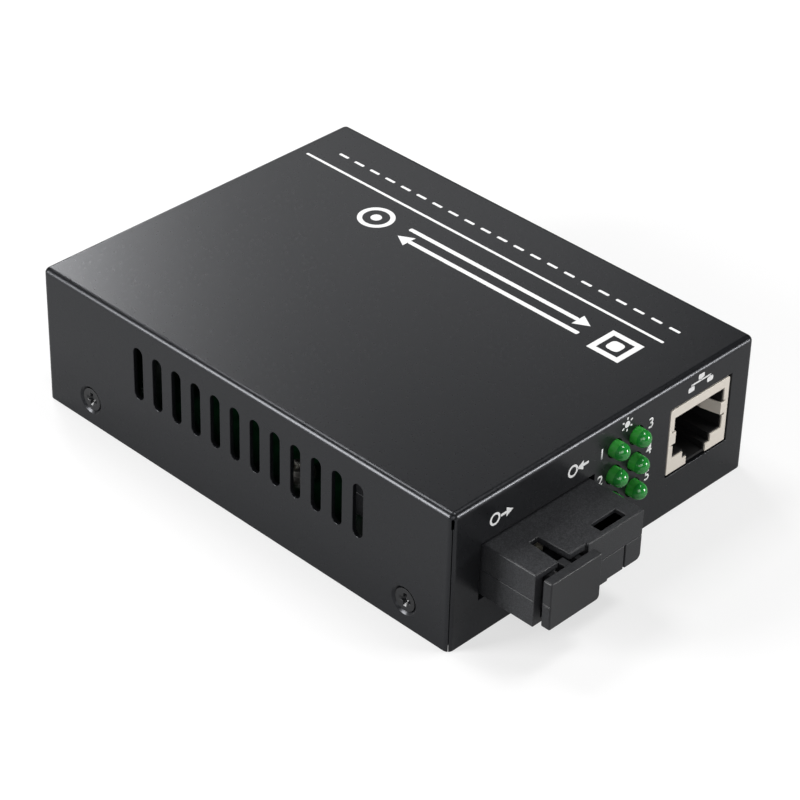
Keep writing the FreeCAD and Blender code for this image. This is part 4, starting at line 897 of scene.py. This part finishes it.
@dataclass
class Studio:
    """Pale floor, soft lamps and the camera.

    Attributes:
        centre: what the lamps face and the camera looks past.
        azimuth: the camera's turn round the product, in degrees.
        elevation: its height over the floor, in degrees.
        roll: its tilt, in degrees.
        distance: how far it stands from the centre.
        focal: its focal length, in parts of the picture.
        aim: where the centre lies in the picture.
        floor_shade: the floor's own grey, which takes the shadow.
        floor_glow: the white added to it for the camera.
        floor_mirrored: the white added to it in reflections.
        sky: the world's strength as a light.
        lamps: the soft boxes.
    """

    centre: Vector = field(default_factory=lambda: Vector((0.0, 0.0, 13.0)) * MM)
    azimuth: float = -46.16
    elevation: float = 35.01
    roll: float = 1.53
    distance: float = 477.5 * MM
    focal: float = 2889.0
    aim: tuple[float, float] = (392.6, 366.4)
    floor_shade: float = 0.4
    floor_glow: float = 0.61
    floor_mirrored: float = 0.11
    sky: float = 0.02
    lamps: tuple[SoftBox, ...] = (
        SoftBox("rear_key", (0.220, 0.471, 0.313), (0.12, 0.12), 17.5),
        SoftBox("rear_side", (0.380, 0.354, 0.313), (0.24, 0.12), 1.2),
        SoftBox("left_box", (-0.488, 0.282, 0.218), (0.24, 0.24), 19.0),
        SoftBox("left_front_box", (-0.488, -0.282, 0.218), (0.24, 0.24), 1.7),
        SoftBox("right_box", (0.337, -0.481, 0.138), (0.14, 0.14), 26.0),
        SoftBox("front_fill", (-0.270, -0.450, 0.301), (0.30, 0.30), 2.5),
        SoftBox("pane_left", (0.0, 0.262, 0.552), (0.18, 0.18), 10.5),
        SoftBox("pane_right", (0.166, -0.129, 0.575), (0.18, 0.18), 10.5),
    )

    def build(self) -> None:
        """Makes the floor, the lamps, the world and the camera."""
        self.floor()
        for lamp in self.lamps:
            lamp.hang(self.centre)
        self.world()
        self.camera()

    def floor(self) -> None:
        """A wide white floor that keeps the shadow."""
        deselect_all()
        bpy.ops.mesh.primitive_plane_add(size=8.0, location=(0, 0, -0.02 * MM))
        floor = bpy.context.object
        floor.name = "studio_floor"
        material = bpy.data.materials.new("floor_paper")
        material.use_nodes = True
        tree = material.node_tree
        tree.nodes.clear()
        shade = self.floor_shade
        matte = add_node(tree, "ShaderNodeBsdfDiffuse", {"Color": (shade, shade, shade, 1.0)})
        path = add_node(tree, "ShaderNodeLightPath")
        mirrored = add_node(
            tree,
            "ShaderNodeMath",
            {0: path.outputs["Is Glossy Ray"], 1: path.outputs["Is Transmission Ray"]},
            operation="MAXIMUM",
        )
        mirrored = add_node(
            tree, "ShaderNodeMath", {0: mirrored.outputs[0], 1: self.floor_mirrored}, operation="MULTIPLY"
        )
        level = add_node(
            tree,
            "ShaderNodeMath",
            {0: path.outputs["Is Camera Ray"], 1: self.floor_glow, 2: mirrored.outputs[0]},
            operation="MULTIPLY_ADD",
        )
        glow = add_node(tree, "ShaderNodeEmission", {"Strength": level.outputs[0]})
        both = add_node(tree, "ShaderNodeAddShader", {0: matte.outputs[0], 1: glow.outputs[0]})
        add_node(tree, "ShaderNodeOutputMaterial", {"Surface": both.outputs[0]})
        floor.data.materials.append(material)

    def world(self) -> None:
        """White where the camera sees it, soft grey as a light."""
        world = bpy.data.worlds.new("studio_world")
        bpy.context.scene.world = world
        world.use_nodes = True
        tree = world.node_tree
        tree.nodes.clear()
        path = add_node(tree, "ShaderNodeLightPath")
        strength = add_node(
            tree,
            "ShaderNodeMapRange",
            {"Value": path.outputs["Is Camera Ray"], "To Min": self.sky, "To Max": 1.0},
        )
        back = add_node(
            tree, "ShaderNodeBackground", {"Color": (1.0, 1.0, 1.0, 1.0), "Strength": strength.outputs["Result"]}
        )
        add_node(tree, "ShaderNodeOutputWorld", {"Surface": back.outputs[0]})

    def camera(self) -> None:
        """A long lens at the product's front left corner, from above."""
        az, el, roll = (math.radians(v) for v in (self.azimuth, self.elevation, self.roll))
        back = Vector((math.sin(az) * math.cos(el), -math.cos(az) * math.cos(el), math.sin(el)))
        level = Vector((math.cos(az), math.sin(az), 0.0))
        rise = back.cross(level).normalized()
        right = level * math.cos(roll) + rise * math.sin(roll)
        up = rise * math.cos(roll) - level * math.sin(roll)
        off = Vector(((self.aim[0] - PICTURE / 2) / self.focal, -(self.aim[1] - PICTURE / 2) / self.focal))
        ray = right * off.x + up * off.y - back
        place = self.centre - ray * self.distance
        data = bpy.data.cameras.new("camera")
        data.sensor_width = SENSOR_MM
        data.lens = self.focal / PICTURE * SENSOR_MM
        data.clip_start, data.clip_end = 0.01, 20.0
        camera = bpy.data.objects.new("camera", data)
        bpy.context.scene.collection.objects.link(camera)
        turn = Matrix((right, up, back)).transposed().to_4x4()
        camera.matrix_world = Matrix.Translation(place) @ turn
        bpy.context.scene.camera = camera
        bpy.context.scene.view_settings.view_transform = "Standard"


def main() -> None:
    """Builds every sub-assembly in order and reports each piece."""
    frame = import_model()
    assemblies: list[Assembly] = [
        CaseShell(frame),
        CircuitBoard(frame),
        FibreModule(frame),
        DustPlug(frame),
        CopperSocket(frame),
        StatusLights(frame),
        PowerInlet(frame),
        ScreenPrint(frame),
    ]
    for assembly in assemblies:
        for name in assembly.build():
            LOG.info("%s: %s", type(assembly).__name__, name)
    Studio().build()


if __name__ == "__main__":
    logging.basicConfig(level=logging.INFO, format="%(name)s: %(message)s")
    main()
